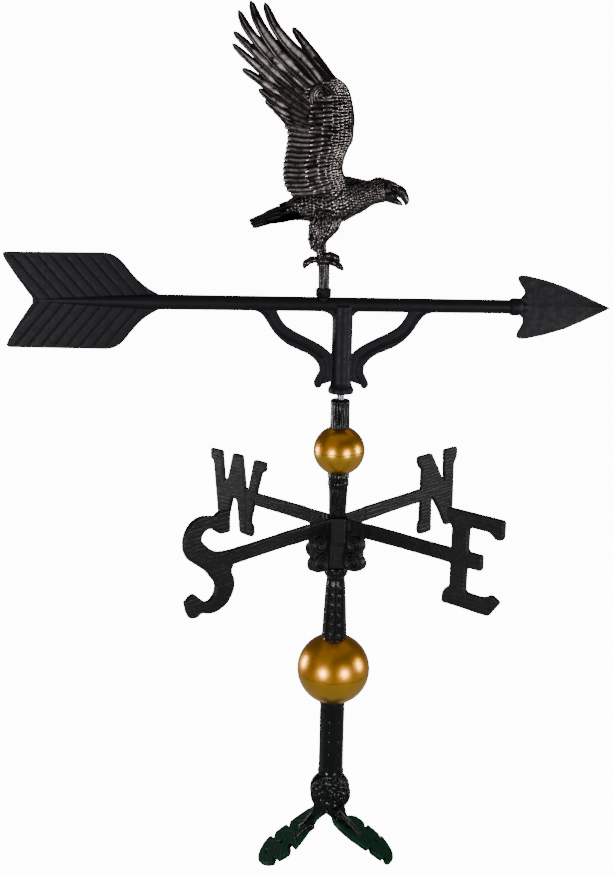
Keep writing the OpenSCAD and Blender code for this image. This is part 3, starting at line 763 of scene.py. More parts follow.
def turned(azimuth):
    """A move that turns points about the mast."""
    c, s = math.cos(math.radians(azimuth)), math.sin(math.radians(azimuth))
    return lambda v: np.stack([v[:, 0] * c - v[:, 1] * s, v[:, 0] * s + v[:, 1] * c, v[:, 2]], 1)


ARM_START, LETTER_START = 60, 180       # out from the mast
SCROLLS = ((41, HUB_Z + 41, 12, 4.6), (38, HUB_Z + 15, 16, 5.2))    # middle, reach and pitch of each spiral
# Discs that back the scrolls: middle, radii, last angle, points and half thickness
SCROLL_DISCS = ((41, 41, 10.5, 10.5, 350, 24, 6.4), (38, 15, 13.5, 12.5, 350, 28, 7.0),
                (41, 41, 4, 4, 330, 12, 7.8), (38, 15, 5, 5, 330, 12, 8.6))


def build_bar(name, arms, z0, z1):
    """arms is a list of (azimuth, reach of the arm, how far the scrolls stand out, letter outline)."""
    b = Build()
    half, top, letter_z = 2.5, ARM_Z + 9.5, ARM_Z - 2
    for azimuth, reach, out, letter in arms:
        move = turned(azimuth)
        outline = [[14, top - 1], [60, top], [reach, top - 0.5], [reach, top - 19.1], [70, top - 20.1],
                   [57, top - 21.1], [49, top - 23], [44, top - 27], [40, top - 31], [14, top - 31]]
        prism(b, outline, half, move)
        prism(b, [[x, z + letter_z] for x, z in fillet(letter, 2.2)], half, move)
        scroll = arc(42 + out, HUB_Z + 41, 11.5, 11.5, 70, -50, 12)
        scroll += arc(38.5 + out, HUB_Z + 15, 15.5, 14, 45, -95, 14)
        scroll += [[x, HUB_Z + z] for x, z in ((26, 0.6), (22, 0.6), (22, 57), (31, 57), (35, 54))]
        prism(b, scroll, 5.2, move)
        prism(b, [[12, HUB_Z + 0.6], [24, HUB_Z + 0.6], [24, HUB_Z + 72], [12, HUB_Z + 72]], 3.2, move)
        for x, z, rx, rz, last, n, thick in SCROLL_DISCS:
            prism(b, arc(x + out, HUB_Z + z, rx, rz, 0, last, n), thick, move)
    boss = 14.2
    prism(b, [[-boss, z0 + 0.05], [boss, z0 + 0.05], [boss, z1 - 0.05], [-boss, z1 - 0.05]], boss)

    def relief(p, n):
        d = np.zeros(len(p))
        for azimuth, _, out, _ in arms:
            r, across, z = turned(-azimuth)(p).T
            face = np.abs(turned(-azimuth)(n)[:, 1]) > 0.6
            warp = 2.2 * noise(np.stack([r, z, z * 0], 1), (42, 18, 9), 41)
            grain = np.sin((z + warp) * 2 * math.pi / 5.2 + 0.02 * r)
            fine = noise(np.stack([r, z, across], 1), (14, 1.9, 5), 42)
            d += np.where(face & (r > ARM_START), 0.16 * grain + 0.36 * fine, 0)
            d += np.where(r > ARM_START, np.where(r > LETTER_START, 1.0, 0.7), 0)
            for cx, cz, size, pitch in SCROLLS:
                dx, dz = r - (cx + out), z - cz
                rad = np.hypot(dx, dz)
                spiral = rad / pitch - np.arctan2(dz, dx) / (2 * math.pi)
                w = np.exp(-(np.maximum(rad - size, 0) / 2.5) ** 2)
                d += np.where(face & (r > 22), 1.2 * np.cos(2 * math.pi * spiral) * w, 0)
            d += np.where((r < ARM_START) & (r > 16), 0.14 * noise(p, 3, 43), 0)
        seam = (np.abs(p[:, 2] - HUB_SPLIT) < 1.6) & (np.abs(n[:, 2]) < 0.7)
        return d - np.where(seam & (np.hypot(p[:, 0], p[:, 1]) < 20), 0.9, 0)

    return cast(name, b, relief, voxel=1.0)


NS = [(45, 203, 0, LETTER_N), (225, 206, 1.5, LETTER_S)]
EW = [(-45, 199, -3.5, LETTER_E), (135, 160, 0, LETTER_W)]
piece(build_bar("north_south_bar", NS, HUB_Z, HUB_SPLIT), "directionals", BLACK, "ns_bar")
piece(build_bar("east_west_bar", EW, HUB_SPLIT, HUB_TOP), "directionals", BLACK, "ew_bar")


# ---- Arrow ----

GROOVE_PITCH = 17.0                     # between the grooves of the arrow's tail


def build_arrow():
    """The arrow's shaft and tail with the two braces, the bell and the foot of the stem."""
    b = Build()
    lift = shifted(z=ARROW_Z)
    h = 62.5
    x0 = TAIL_X
    top = bezier([x0 + 132, h + 1], [x0 + 163, h], [x0 + 159, 28], [x0 + 207, 8], 14)
    upper = [[x0 + 38, 2.5], [x0 + 19, 29], [x0 + 4, h - 10], [x0 + 0.5, h - 2], [x0 + 4, h]] + top
    lower = [[x, -z] for x, z in reversed(upper)]
    prism(b, fillet(upper + lower, 2.0), 2.5, lift)
    tube(b, [[x0 + 37, 0, ARROW_Z], [x0 + 60, 0, ARROW_Z], [x0 + 200, 0, ARROW_Z], [HEAD_X, 0, ARROW_Z]],
         [2.2, 3.4, 9.6, 8.8], m=40)
    outer = spline([[124, -8], [111, -12], [102.5, -22], [95, -34], [85.3, -45], [73.4, -54.3],
                    [59.6, -60.8], [46.6, -66.4], [37, -73.8], [30.8, -82.5], [29.5, -91]], 34).tolist()
    tip = arc(31.6, -107.2, 5.2, 6, 35, -170, 8)
    inner = ([[14, -104], [10, -100], [10, -60]] + bezier([14, -68], [27, -53], [50, -46], [67, -36], 8)
             + bezier([75, -31], [83, -24], [86, -16], [91, -6], 6))
    for side in (1, -1):
        prism(b, [[side * x, z] for x, z in outer + tip + inner], 5.2, lift)
    prism(b, [[-36, -4], [-30, -8.5], [-21, -10.5], [-15.5, -14], [-12, -21], [-12, -4]], 6.5, lift)
    prism(b, [[26, -4], [21, -8.5], [16.5, -11], [13.5, -15], [12, -4]], 5.5, lift)
    prof = [(0, BELL_Z), (15.6, BELL_Z), (17.0, BELL_Z + 1.2), (17.3, BELL_Z + 4), (16.6, BELL_Z + 7),
            (14.8, BELL_Z + 10.5), (13.7, BELL_Z + 14), (13.5, BELL_Z + 18), (13.3, ARROW_Z - 2),
            (0, ARROW_Z - 2)]
    lathe(b, prof, m=64)
    lathe(b, [(0, ARROW_Z), (8.6, ARROW_Z), (8.0, NUT_Z), (0, NUT_Z)], m=32, centre=(STEM_X, 0))
    groove = [[112, -9], [99, -15], [92.5, -28], [85, -38], [73, -46], [51, -55], [37, -63], [25, -72],
              [20.5, -84], [21, -96], [25.5, -103]]

    def relief(p, n):
        out = p.copy()
        x, z = p[:, 0], p[:, 2] - ARROW_Z
        # The tail thins to its edges and has slanting grooves; the braces have one groove along them
        tail = (x < x0 + 216) & (np.abs(z) > 1)
        flat = tail & (np.abs(n[:, 1]) > 0.5) & (np.abs(p[:, 1]) < 2.9)
        thin = 1 - 0.3 * smooth_step(np.abs(z), 10, 62)
        out[flat, 1] *= thin[flat]
        q = x + 0.85 * np.abs(z) - (x0 + 63.5)          # the grooves slant back from the shaft
        phase = (q / GROOVE_PITCH + 0.5) % 1.0 - 0.5
        cut = np.exp(-(phase * GROOVE_PITCH / 1.1) ** 2)
        cut = cut * (1 - smooth_step(np.abs(z), 57, 61)) * smooth_step(q, -25, -12)
        swell = np.cos(phase * 2 * math.pi)
        depth = np.where(flat, -1.35 * cut - 0.05 * swell, 0)
        depth = depth * (1 - smooth_step(x, x0 + 175, x0 + 200))
        brace = (np.abs(x) > 14.5) & (np.abs(x) < 120) & (z < -8) & (np.abs(n[:, 1]) > 0.5)
        d = distance_to_path(np.stack([np.abs(x), z], 1), groove)
        depth += np.where(brace, -1.7 * np.exp(-(d / 1.7) ** 2) + 0.35, 0)
        depth += 0.06 * noise(p, 7, 51) + 0.55
        out += n * depth[:, None]
        out[:, 2] = np.maximum(out[:, 2], BELL_Z)
        return out

    return cast("arrow_casting_skin", b, relief, voxel=0.85)


def build_arrowhead():
    """The arrow's blade on its round socket."""
    b = Build()
    x0, z0 = HEAD_X, ARROW_Z
    prof = [(8.4, 0), (10.6, 0.6), (11.6, 3), (11.7, 9), (10.8, 12.5), (8.6, 15), (6, 22), (0.2, 30)]
    t = turn(48)
    loft(b, [np.stack([np.full(48, x0 + x), r * np.cos(t), z0 + r * np.sin(t)], 1) for r, x in prof])
    blade = ([[11, 9], [16, 12.5]] + bezier([19.5, 18], [21, 23], [13, 28], [9, 37.5], 8)
             + [[9.5, 40.5], [12, 41.8], [17, 42.2], [24, 41.2], [48, 35.8], [75, 27], [110, 11.8],
                [134, 1.3], [137, 0], [134, -1.8], [103, -17], [76, -29], [48, -37.5], [26, -42.5],
                [17, -43.2], [12.5, -42], [11.3, -39]]
             + bezier([12, -36], [13, -30], [21, -25], [18.5, -15], 8) + [[15, -12], [11, -9]])
    prism(b, [[x0 + x, z0 + z] for x, z in blade], 4.2)

    def relief(p, n):
        out = p.copy()
        x, z = p[:, 0] - x0, p[:, 2] - z0
        # The blade thins from its middle line to its edges and to its point
        edge = np.clip((137 - x) / 113.0, 0.02, 1) * 42.0
        edge = np.where(x < 26, 43.0, edge)
        t = np.clip(np.abs(z) / edge, 0, 1)
        k = 1 - 0.62 * t ** 0.9
        k *= 1 - 0.45 * smooth_step(x, 60, 137)
        blade_zone = (x > 22) | (np.abs(z) > 13)
        out[blade_zone, 1] *= k[blade_zone]
        return out + n * (0.08 * noise(p, 5, 52) + 0.4)[:, None]

    return cast("arrowhead_skin", b, relief, voxel=0.8)


piece(build_arrow(), "vane", ARROW_BLACK, "arrow_casting")
piece(build_arrowhead(), "vane", ARROW_BLACK, "arrowhead")


# ---- Roof feet ----

SCREW_HOLES = [85, 114]                 # down the slope from the ridge
SCREW_HOLE_R = 3.5
TIP_START = 95                          # where the tip of the leaf begins
VEINS = [[[30, -14], [60, -6], [90, 0], [125, 1]], [[44, -18], [56, -30], [60, -36]],
         [[62, -8], [78, -22], [86, -35]], [[82, -3], [99, -16], [109, -30]],
         [[60, -2], [60, 16], [58, 30]], [[74, 2], [84, 16], [87, 33]], [[89, 3], [101, 16], [107, 30]],
         [[104, 2], [114, 10], [120, 18]], [[103, -1], [116, -12], [121, -19]]]


def foot_frame(flip):
    """A move from the foot's own (down the slope, along the ridge, out of the roof) to the frame."""
    c, s = math.cos(PITCH), math.sin(PITCH)
    k = -1 if flip else 1

    def move(v):
        x, y, z = v[:, 0] * c + v[:, 2] * s, v[:, 1], -v[:, 0] * s + v[:, 2] * c
        return np.stack([k * x, k * y, z], 1)
    return move


def leaf_outline(inner):
    """One side of the leaf and the other. inner narrows the second near the pivot; a leaf that isn't
    narrowed there is a little narrower at the tip."""
    near = [[2, -4.2], [2, -20], [6, -27], [12, -31], [22, -34.5], [34, -37], [48, -38], [60, -37.6],
            [66.5, -37], [68.5, -34.5], [70, -27], [71.2, -24.5], [72, -27], [73.3, -34], [75, -37],
            [85.5, -37], [94, -36.4], [97, -34.5], [98.7, -30], [99.7, -25], [100.6, -23.5], [101.5, -26],
            [103, -33], [105.3, -35.5], [108.7, -36], [114.7, -33], [119, -29], [122.9, -23.5],
            [126.3, -16], [128.5, -8]]
    far = [[129, -1], [128.3, 5], [126, 11], [122, 17.5], [117, 23.5], [112, 28.5], [107, 32], [103.6, 33],
           [101.5, 31], [100.4, 26], [99.6, 24], [98.4, 27], [96.8, 31.5], [94, 34.5], [83.8, 36.5],
           [76, 36.8], [73.5, 34.5], [73, 28], [72.8, 19], [70.8, 15.5], [68.4, 18], [67.6, 27], [66.6, 31],
           [63, 33.5], [58, 33.5], [48, 31], [40, 25.5], [33, 18], [27, 6], [22, -3], [18, -4.2]]
    outer = 1.0 if inner < 1 else 0.86
    return near + [[s, t * float(np.interp(s, [42, 64, 80], [inner, 1, outer]))] for s, t in far]


def drill_leaf(obj, flip):
    """Cuts the two screw holes square through the leaf."""
    drill = Build()
    for s in SCREW_HOLES:
        lathe(drill, [(0, -4), (SCREW_HOLE_R, -4), (SCREW_HOLE_R, 12), (0, 12)], m=32, centre=(s, 0),
              move=foot_frame(flip))
    tool = to_object(obj.name + "_drill", drill, smooth=0)
    mod = obj.modifiers.new("holes", "BOOLEAN")
    mod.operation = "DIFFERENCE"
    mod.solver = "EXACT"
    mod.object = tool
    apply_modifiers(obj)
    bpy.data.objects.remove(tool)
    obj.data.shade_smooth()
    obj.data.set_sharp_from_angle(angle=math.radians(50))


def build_foot(name, flip, shorten, blade):
    """The leaf if blade is set, and otherwise the arm with its eye. shorten draws in the tip of the leaf."""
    b = Build()
    pivot_s = -PIVOT_Z * math.sin(PITCH)

    if blade:
        outline = leaf_outline(0.62 if flip else 1.0)
        outline = [[down - shorten * max(down - TIP_START, 0), t] for down, t in outline]
        prism(b, fillet(outline, 1.5), 3.5, lambda v: np.stack([v[:, 0], v[:, 2], v[:, 1] + 3.5], 1))
    else:
        web = [[pivot_s, 0.5], [52, 0.5], [56, 6.5], [44, 9.5], [30, 13], [17.5, 18], [8, 26], [1, 37],
               [-6, 45.6], [pivot_s, EYE_R]]
        prism(b, web, 3.7, shifted(y=-7.3))
        prism(b, [[4, 0.5], [58, 0.5], [60, 6], [40, 9.5], [22, 14], [6, 17]], 6.4, shifted(y=-14))
        if flip:                       # a second rib on the other side of the leaf
            prism(b, [[27, 0.5], [62, 0.5], [66, 6.5], [48, 9], [36, 10.5], [28, 10]], 5.0, shifted(y=9.5))
        prism(b, arc(0, 0, EYE_R - 0.3, EYE_R - 0.3, 0, 354, 60), 3.7, shifted(pivot_s, -7.3, EYE_R))
        for r, y in ((EYE_R - 1.8, -10.6), (EYE_R - 4.4, -12.1), (EYE_R - 8.5, -13.0)):
            prism(b, arc(0, 0, r, r, 0, 354, 50), 1.2, shifted(pivot_s, y + 0.6, EYE_R))
    veins = [spline(vein, 8) for vein in VEINS]

    def relief(p, n):
        d = np.zeros(len(p))
        # Veins with a hollow beside them, a casting's grain, and a pebbled dome over the eye
        top = (n[:, 2] > 0.5) & (p[:, 2] > 4) & (p[:, 2] < 9)
        dist = np.min([distance_to_path(p[:, :2], v) for v in veins], axis=0)
        d += np.where(top, 0.32 * np.exp(-(dist / 1.5) ** 2) - 0.16 * np.exp(-((dist - 3.2) / 1.6) ** 2), 0)
        skin = p[:, 2] > 0.8
        d += np.where(skin, 0.26 * noise(p, 5.0, 61) + 0.1 * noise(p, 2.4, 62), 0)
        from_pivot = np.hypot(p[:, 0] - pivot_s, p[:, 2] - EYE_R)
        dome = (from_pivot < EYE_R - 1) & (p[:, 1] < -9) & (n[:, 1] < -0.2)
        pebbles = 0.55 - cells(p, 4.6, 63)
        d += np.where(dome, 3.0 * pebbles - 0.9 * smooth_step(from_pivot, 21, EYE_R), 0)
        out = p + n * d[:, None]
        # The sole and the face towards the other foot stay flat
        sole = (n[:, 2] < -0.8) & (p[:, 2] < 2)
        out[sole, 2] = np.maximum(out[sole, 2], 0.0)
        inner = (from_pivot < EYE_R) & (n[:, 1] > 0.5) & (p[:, 1] > -6)
        out[inner, 1] = np.minimum(out[inner, 1], -3.55)
        return foot_frame(flip)(out)

    obj = cast(name, b, relief, voxel=0.95)
    if blade:
        drill_leaf(obj, flip)
    return obj


for side, flip, shorten in (("right", False, 0.26), ("left", True, -0.06)):
    body, node = side + "_foot", side + "_leg"
    piece(build_foot(side + "_foot_casting", flip, shorten, False), body, COLUMN_BLACK, node)
    piece(build_foot(side + "_foot_leaf", flip, shorten, True), body, LEAF_GREEN, node)


# ---- Eagle ----

# Half width along a feather, as places from base to tip and the share of the full width there
SHAPES = {"primary": ([0, 0.25, 0.55, 0.75, 0.9, 0.97, 1], [0.6, 1, 1, 0.8, 0.68, 0.48, 0.12]),
          "scale": ([0, 0.25, 0.6, 0.85, 0.95, 1], [0.7, 0.95, 1, 0.75, 0.5, 0.1]),
          "vane": ([0, 0.25, 0.7, 0.88, 0.96, 1], [0.7, 0.95, 1, 0.97, 0.85, 0.5])}


def feather(build, path, half, thick, up, n, shape="vane", tilt=0.0, back=0.8, lanes=7, move=None):
    """One feather along path, of half width half and facing up. Both faces are vaulted, and a primary has a
    quill down the middle. Its uv is the place along the feather in mm and across it from -1 to 1."""
    curve = spline(path, 60)
    steps = np.concatenate([[0], np.cumsum(np.linalg.norm(np.diff(curve, axis=0), axis=1))])
    length = steps[-1]
    u = np.sin(np.linspace(0, 1, n + 1) * math.pi / 2) * 0.5 + np.linspace(0, 1, n + 1) * 0.5
    centre = np.stack([np.interp(u * length, steps, curve[:, k]) for k in range(3)], 1)
    width = np.interp(u, *SHAPES[shape])
    lane = np.linspace(-1, 1, lanes)
    vault = np.sqrt(np.maximum(1 - (np.abs(lane) * 0.97) ** 2, 0))
    if shape == "primary":
        vault = vault + 0.16 * np.cos(lane * 3 * math.pi)
    up = np.asarray(up, float)
    rings, uv = [], []
    for i, p in enumerate(centre):
        t = centre[min(i + 1, n)] - centre[max(i - 1, 0)]
        t = t / np.linalg.norm(t)
        out = up - t * up.dot(t)
        out = out / np.linalg.norm(out)
        across = np.cross(t, out)
        w = half * width[i]
        body = thick * min(1.0, 0.35 + width[i]) * min(1.0, 0.3 + 3.5 * (1 - u[i]))
        front = [p + across * v * w + out * (body * vault[k] + tilt * v * w) for k, v in enumerate(lane)]
        rear = [p + across * v * w + out * (-back * body * vault[k] + tilt * v * w)
                for k, v in list(enumerate(lane))[::-1][1:-1]]
        rings.append(front + rear)
        # Near both ends the across value is pushed out to 1, so the painted highlight along the middle fades
        # at the base and the tip
        fade = min(1.0, u[i] * 8, (1 - u[i]) * 4)
        seam = [(u[i] * length, np.sign(v) * (1 - (1 - abs(v)) * fade)) for v in lane]
        uv += seam + seam[::-1][1:-1]
    start = len(build.uv)
    loft(build, rings, move=move)
    build.uv[start:start + len(uv)] = uv


def flat3(points):
    """Points (x, z) or (x, z, d) drawn in the wing's plane, as x, d, z."""
    return [[p[0], p[2] if len(p) > 2 else 0.0, p[1]] for p in points]


# In the wing's plane: centre lines of the long feathers from base to tip with their half widths, then the
# ends of the short ones, the wing's leading edge and the line where the coverts end
PRIMARIES = [
    ([(-10.3, 990), (-23.8, 1015), (-39.8, 1036), (-54.7, 1055), (-65, 1068), (-74, 1079)], 7.6),
    ([(-20, 988), (-32.6, 1010), (-54, 1036), (-76.8, 1056), (-95.6, 1078), (-109.3, 1105.5)], 7.7),
    ([(-26, 984), (-43, 1006), (-70.6, 1030), (-95.8, 1054), (-115.8, 1082), (-126.6, 1107.2)], 8.3),
    ([(-30, 980), (-51, 1000), (-80.6, 1025), (-106.8, 1049), (-129.8, 1075), (-141.4, 1096)], 7.5),
    ([(-32, 976), (-56, 995), (-85, 1016), (-108, 1036), (-131, 1057), (-147.5, 1071)], 6.6),
    ([(-34, 972), (-60, 988), (-90, 1008), (-114, 1028), (-133, 1043.5), (-149, 1057)], 6.2),
    ([(-36, 968), (-62, 981), (-87.5, 996.8), (-107, 1009.6), (-121.6, 1019.2), (-136.6, 1027.6)], 6.9),
    ([(-38, 964), (-62, 974), (-85, 985), (-103, 995), (-115.5, 1004)], 6.6),
    ([(-40, 961), (-62, 968), (-81, 975), (-97.5, 984), (-107.5, 990.5)], 6.2),
    ([(-42, 958), (-62, 963), (-78, 969), (-89, 975), (-97.5, 981)], 5.8),
    ([(-43, 955), (-60, 959), (-74, 963), (-83, 968.5), (-90, 974)], 5.4),
    ([(-44, 953), (-60, 955), (-71, 958), (-78, 962), (-83.5, 966)], 5.2),
]
SECONDARY_TIPS = [(-82.5, 960), (-79.2, 953), (-78.8, 946), (-79.4, 939.5), (-80.4, 933), (-81.5, 926.5),
                  (-82.6, 920), (-83.6, 913.5), (-84.1, 907), (-84.1, 900.5), (-83.5, 894), (-82, 887.5),
                  (-79, 881.5), (-73.6, 876)]
SECONDARY_BASES = [(-43, 955), (-43, 949), (-44, 943), (-45, 937), (-46, 931), (-46.5, 925), (-47, 919),
                   (-47, 913), (-47, 907), (-46, 901), (-44, 895), (-41, 889.5), (-37, 884), (-32, 880)]
LEADING = [(-16, 1017.5), (-7.2, 1010.4), (-1, 999.4), (1.8, 985), (3, 970), (3.2, 955), (1.4, 942),
           (-4, 930), (-8, 918), (-8.2, 905), (-4, 894), (-1, 882)]
COVERT_END = [(-50, 1003), (-49, 990), (-50, 977), (-51, 964), (-52, 950), (-53, 937), (-54, 924),
              (-54, 911), (-52, 899), (-47, 889), (-41, 882), (-34, 876)]


# Rows of coverts: share of the way from the leading edge, length, half width and number
COVERT_ROWS = [(0.58, 22, 3.9, 23), (0.40, 16, 3.3, 27), (0.27, 11, 2.6, 34), (0.18, 8.5, 2.2, 40),
               (0.09, 7, 2.0, 44), (0.0, 6, 1.9, 48)]
CURL = [(-24, 999), (-31, 1006), (-39, 1008), (-46, 1003), (-48.5, 995), (-47, 988)]
WING_SKIN = [(-16, 1012), (-44, 1036), (-72, 1047), (-98, 1049), (-104, 1034), (-100, 1010), (-94, 985),
             (-80, 964), (-72, 950), (-73, 925), (-75, 900), (-70, 885), (-58, 878), (-30, 872), (-6, 874)]
FAR_EDGE = [(-46, 1044), (-30, 1029), (-16, 1013.4), (-7.6, 1007.4), (-1.4, 996), (1.8, 982), (3.6, 968),
            (3, 957), (2.5, 944), (-3, 935), (-8, 922), (-10, 908)]


def wing_place(side, size):
    """A move from the wing's plane to the eagle's side (-1 or 1). size scales the wing about a point behind
    its root."""
    def place(v):
        x = v[:, 0] + (size - 1) * (v[:, 0] + 120.6)
        z = v[:, 2] + (size - 1) * (v[:, 2] - 876)
        y = side * (19.5 + np.maximum(v[:, 2] - 880, 0) * 0.03 + v[:, 1])
        return np.stack([x, y, z + EAGLE_Z], 1)
    return place


def add_long_feathers(long_feathers, coverts, place, first):
    """Primaries from number first on, each with a covert on both faces, and the secondaries."""
    up = (0, 1, 0)
    for i, (path, half) in list(enumerate(PRIMARIES))[first:]:
        d = 0.5 - 0.12 * i
        pts = [(x, z, d + 0.5 * k / len(path)) for k, (x, z) in enumerate(path)]
        feather(long_feathers, flat3(pts), half, 2.1, up, 18, "primary", tilt=0.12, back=0.9, lanes=13,
                move=place)
        for face in ((1, -1) if i else ()):
            pts = [(x + 1.2, z - 1.0, face * 1.3) for x, z in spline(path, 12)[1:7]]
            feather(coverts, flat3(pts), half * 0.72, 1.2, (0, face, 0), 9, tilt=0.1, back=0.2, move=place)
    for i, (tip, base) in enumerate(zip(SECONDARY_TIPS, SECONDARY_BASES)):
        middle = ((tip[0] + base[0]) / 2, (tip[1] + base[1]) / 2 - 1.4)
        d = -0.3 + 0.05 * i
        pts = flat3([(*base, d + 0.6), (*middle, d + 0.3), (*tip, d)])
        feather(long_feathers, pts, 4.0, 2.7, up, 12, tilt=0.1, back=1.0, lanes=9, move=place)


def add_coverts(coverts, place):
    """Rows of small feathers on both faces, which flow from the leading edge, and the curl at the wrist."""
    lead, end = spline(LEADING, 120), spline(COVERT_END, 120)
    last = 119
    for r, (t, length, half, count) in enumerate(COVERT_ROWS):
        for k in range(count):
            s = (k + 0.5 * (r % 2) + 0.25) / count
            at = int(s * last)
            a, b = lead[at], end[at]
            ahead = lead[min(at + 3, last)] - lead[max(at - 3, 0)]
            ahead = ahead / np.linalg.norm(ahead)
            flow = (b - a) / np.linalg.norm(b - a)
            uneven = math.sin(k * 12.9898 + r * 78.233) * 43.7585 % 1 - 0.5    # the same on every run
            flow = flow * 0.92 - ahead * (0.38 * (1 - 1.2 * s) + 0.2 * uneven)
            flow = flow / np.linalg.norm(flow)
            p = a + (b - a) * t
            height = 2.0 + 2.6 * (1 - t)
            q = p + flow * length * (1 + 0.22 * uneven)
            m = (p + q) / 2
            for face in (1, -1):
                pts = flat3([(*p, face * (height - 0.9)), (*m, face * height), (*q, face * (height - 0.5))])
                feather(coverts, pts, half, 1.5, (0, face, 0), 6, "scale", back=0.2, move=place)
    for face in (1, -1):
        for shrink, h in ((1.15, 4.4), (0.82, 5.0), (0.5, 5.4)):
            pts = [(-38 + (x + 38) * shrink, 998 + (z - 998) * shrink, face * h) for x, z in CURL]
            feather(coverts, flat3(pts), 3.0 * shrink ** 0.5, 2.0, (0, face, 0), 10, back=0.3, move=place)


def wing_core(side, place):
    """The sheet behind the feathers and the bones along the leading edge."""
    core = Build()
    prism(core, WING_SKIN + [tuple(p) for p in spline(LEADING, 120)[::-8]], 1.6, place)
    bone = [[x - 3, 0, z] for x, z in spline(LEADING, 24)]
    radii = np.interp(np.linspace(0, 1, 25), [0, 0.12, 0.25, 0.6, 1], [3.0, 5.0, 5.2, 4.8, 5.6])
    tube(core, bone, radii, m=16, squash=0.95, move=place)
    inner = [[x * 0.5 + end_x * 0.5, y, z * 0.5 + end_z * 0.5]
             for (x, y, z), (end_x, end_z) in zip(bone, spline(COVERT_END, 24))]
    tube(core, inner, 3.0, m=12, squash=0.75, move=place)
    if side > 0:
        edge = [[x, -2, z] for x, z in FAR_EDGE]
        tube(core, edge, [2, 3, 4, 4, 4, 4, 4, 3.6, 3.4, 3.4, 3.4, 3], m=14, squash=0.6, move=place)
    return core


def eagle_piece(obj, material, node="eagle_body"):
    """A piece of the eagle, which turns with the vane."""
    piece(obj, "vane", material, node)


def add_wing(node, side, size, first):
    """One wing as flight feathers, coverts and bones."""
    place = wing_place(side, size)
    long_feathers, coverts = Build(), Build()
    add_long_feathers(long_feathers, coverts, place, first)
    add_coverts(coverts, place)
    eagle_piece(to_object(node + "_flight_feathers", long_feathers, 50), BRONZE, node)
    eagle_piece(to_object(node + "_coverts", coverts, 50), BRONZE_COVERTS, node)
    core = wing_core(side, place)
    bone = cast(node + "_bone", core, lambda p, n: 0.15 * noise(p, 3, 71), voxel=0.9)
    eagle_piece(bone, BRONZE_SMOOTH, node)


add_wing("near_wing", -1, 1.0, 1)
add_wing("far_wing", 1, 1.03, 0)

# Stations of the trunk from the rump to the face: x, middle height, half height and half width
TRUNK = [(-86, 853, 5, 6), (-78, 855, 9.5, 9), (-66, 859.5, 14, 12), (-50, 863.5, 20, 15.5),
         (-32, 866, 25, 17.5), (-14, 869.3, 28.5, 18), (0, 872, 27, 16.5), (12, 873.9, 22.9, 14.5),
         (22, 876, 19, 12.5), (30.5, 878.5, 15.8, 11), (37, 881.2, 15, 10.4), (43, 883.3, 15.2, 10.2),
         (50, 883.4, 14.2, 10), (57, 883, 13.4, 9), (63, 882, 12, 7.6), (68, 881.4, 9.8, 5.8)]


# Thigh, shoulder, brow and cheek, for the +Y side: points, radii, number of sides and squash
MASSES = [([[-21, 8, 852], [-27, 10, 840], [-33, 10, 828], [-37, 8.5, 816], [-37.5, 6.5, 807],
            [-36.5, 5.5, 802]], [18, 18.6, 15, 10.2, 6.8, 4.6], 28, 0.5),
          ([[-30, 12, 872], [-14, 14, 884], [-2, 12.5, 892]], [13, 13, 8], 20, 0.62),
          ([[53, 7.6, 889], [59, 8.2, 890], [65, 7.2, 889], [69, 5.2, 887.2]], [1.2, 2.2, 1.8, 0.9], 10, 1.0),
          ([[50, 6.5, 877], [60, 6.8, 876], [67, 5, 877.5]], [4.5, 4.6, 3], 14, 0.8)]


def build_trunk():
    """The eagle's body, head and thighs under the small feathers."""
    b = Build()
    t = turn(36)
    loft(b, [np.stack([np.full(36, x), hy * np.cos(t), z - 0.6 + (hz + 0.7) * np.sin(t) + EAGLE_Z], 1)
             for x, z, hz, hy in spline(TRUNK, 60)])
    for side in (-1, 1):
        for points, radii, m, squash in MASSES:
            tube(b, mirrored(points, side), radii, m=m, squash=squash, move=EAGLE_LIFT)
    crest = [[33, 0, 890.5], [40, 0, 894.8], [46, 0, 893.6], [55, 0, 890.6]]
    tube(b, crest, [4, 3.9, 3.6, 3], m=14, squash=1.6, move=EAGLE_LIFT)

    def relief(p, n):
        eye = np.hypot(p[:, 0] - 61.8, p[:, 2] - EAGLE_Z - 884.8)
        socket = np.where(np.abs(p[:, 1]) > 4, -1.3 * np.exp(-(eye / 3.0) ** 2), 0)
        rough = np.where(p[:, 0] < 54, 0.45 * noise(p, (3.4, 3, 3), 81), 0.12 * noise(p, 2, 82))
        return socket + rough

    return cast("eagle_trunk", b, relief, voxel=0.85)


def build_face():
    """The beak and the edge of the gape."""
    b = Build()
    upper = spline([[62.8, 0, 882.4], [67.8, 0, 883.2], [73, 0, 881], [77.2, 0, 875.4], [79.8, 0, 870.2],
                    [79.6, 0, 866.3], [78.2, 0, 863.8]], 18)
    radii = np.interp(np.linspace(0, 1, 19), [0, 0.25, 0.5, 0.7, 0.85, 0.95, 1],
                      [7.9, 7.4, 5.9, 4.4, 2.8, 1.6, 0.6])
    tube(b, upper, radii, m=20, squash=0.62, move=EAGLE_LIFT)
    lower = spline([[55, 0, 872.4], [61, 0, 870.8], [67, 0, 868.8], [72, 0, 866.4], [75, 0, 863.6]], 12)
    radii = np.interp(np.linspace(0, 1, 13), [0, 0.4, 0.7, 0.85, 1], [4.8, 4.6, 3.6, 2.2, 0.9])
    tube(b, lower, radii, m=16, squash=0.85, move=EAGLE_LIFT)
    for side in (-1, 1):
        gape = mirrored([[55, 5.6, 876.2], [63, 5.0, 875.0], [69, 3.8, 874.4], [74, 2.6, 872.4]], side)
        tube(b, spline(gape, 8), [0.8, 1.1, 1.2, 1.2, 1.1, 1.0, 0.9, 0.7, 0.5], m=8, move=EAGLE_LIFT)
    return cast("eagle_beak", b, lambda p, n: 0.06 * noise(p, 2, 83), voxel=0.55)


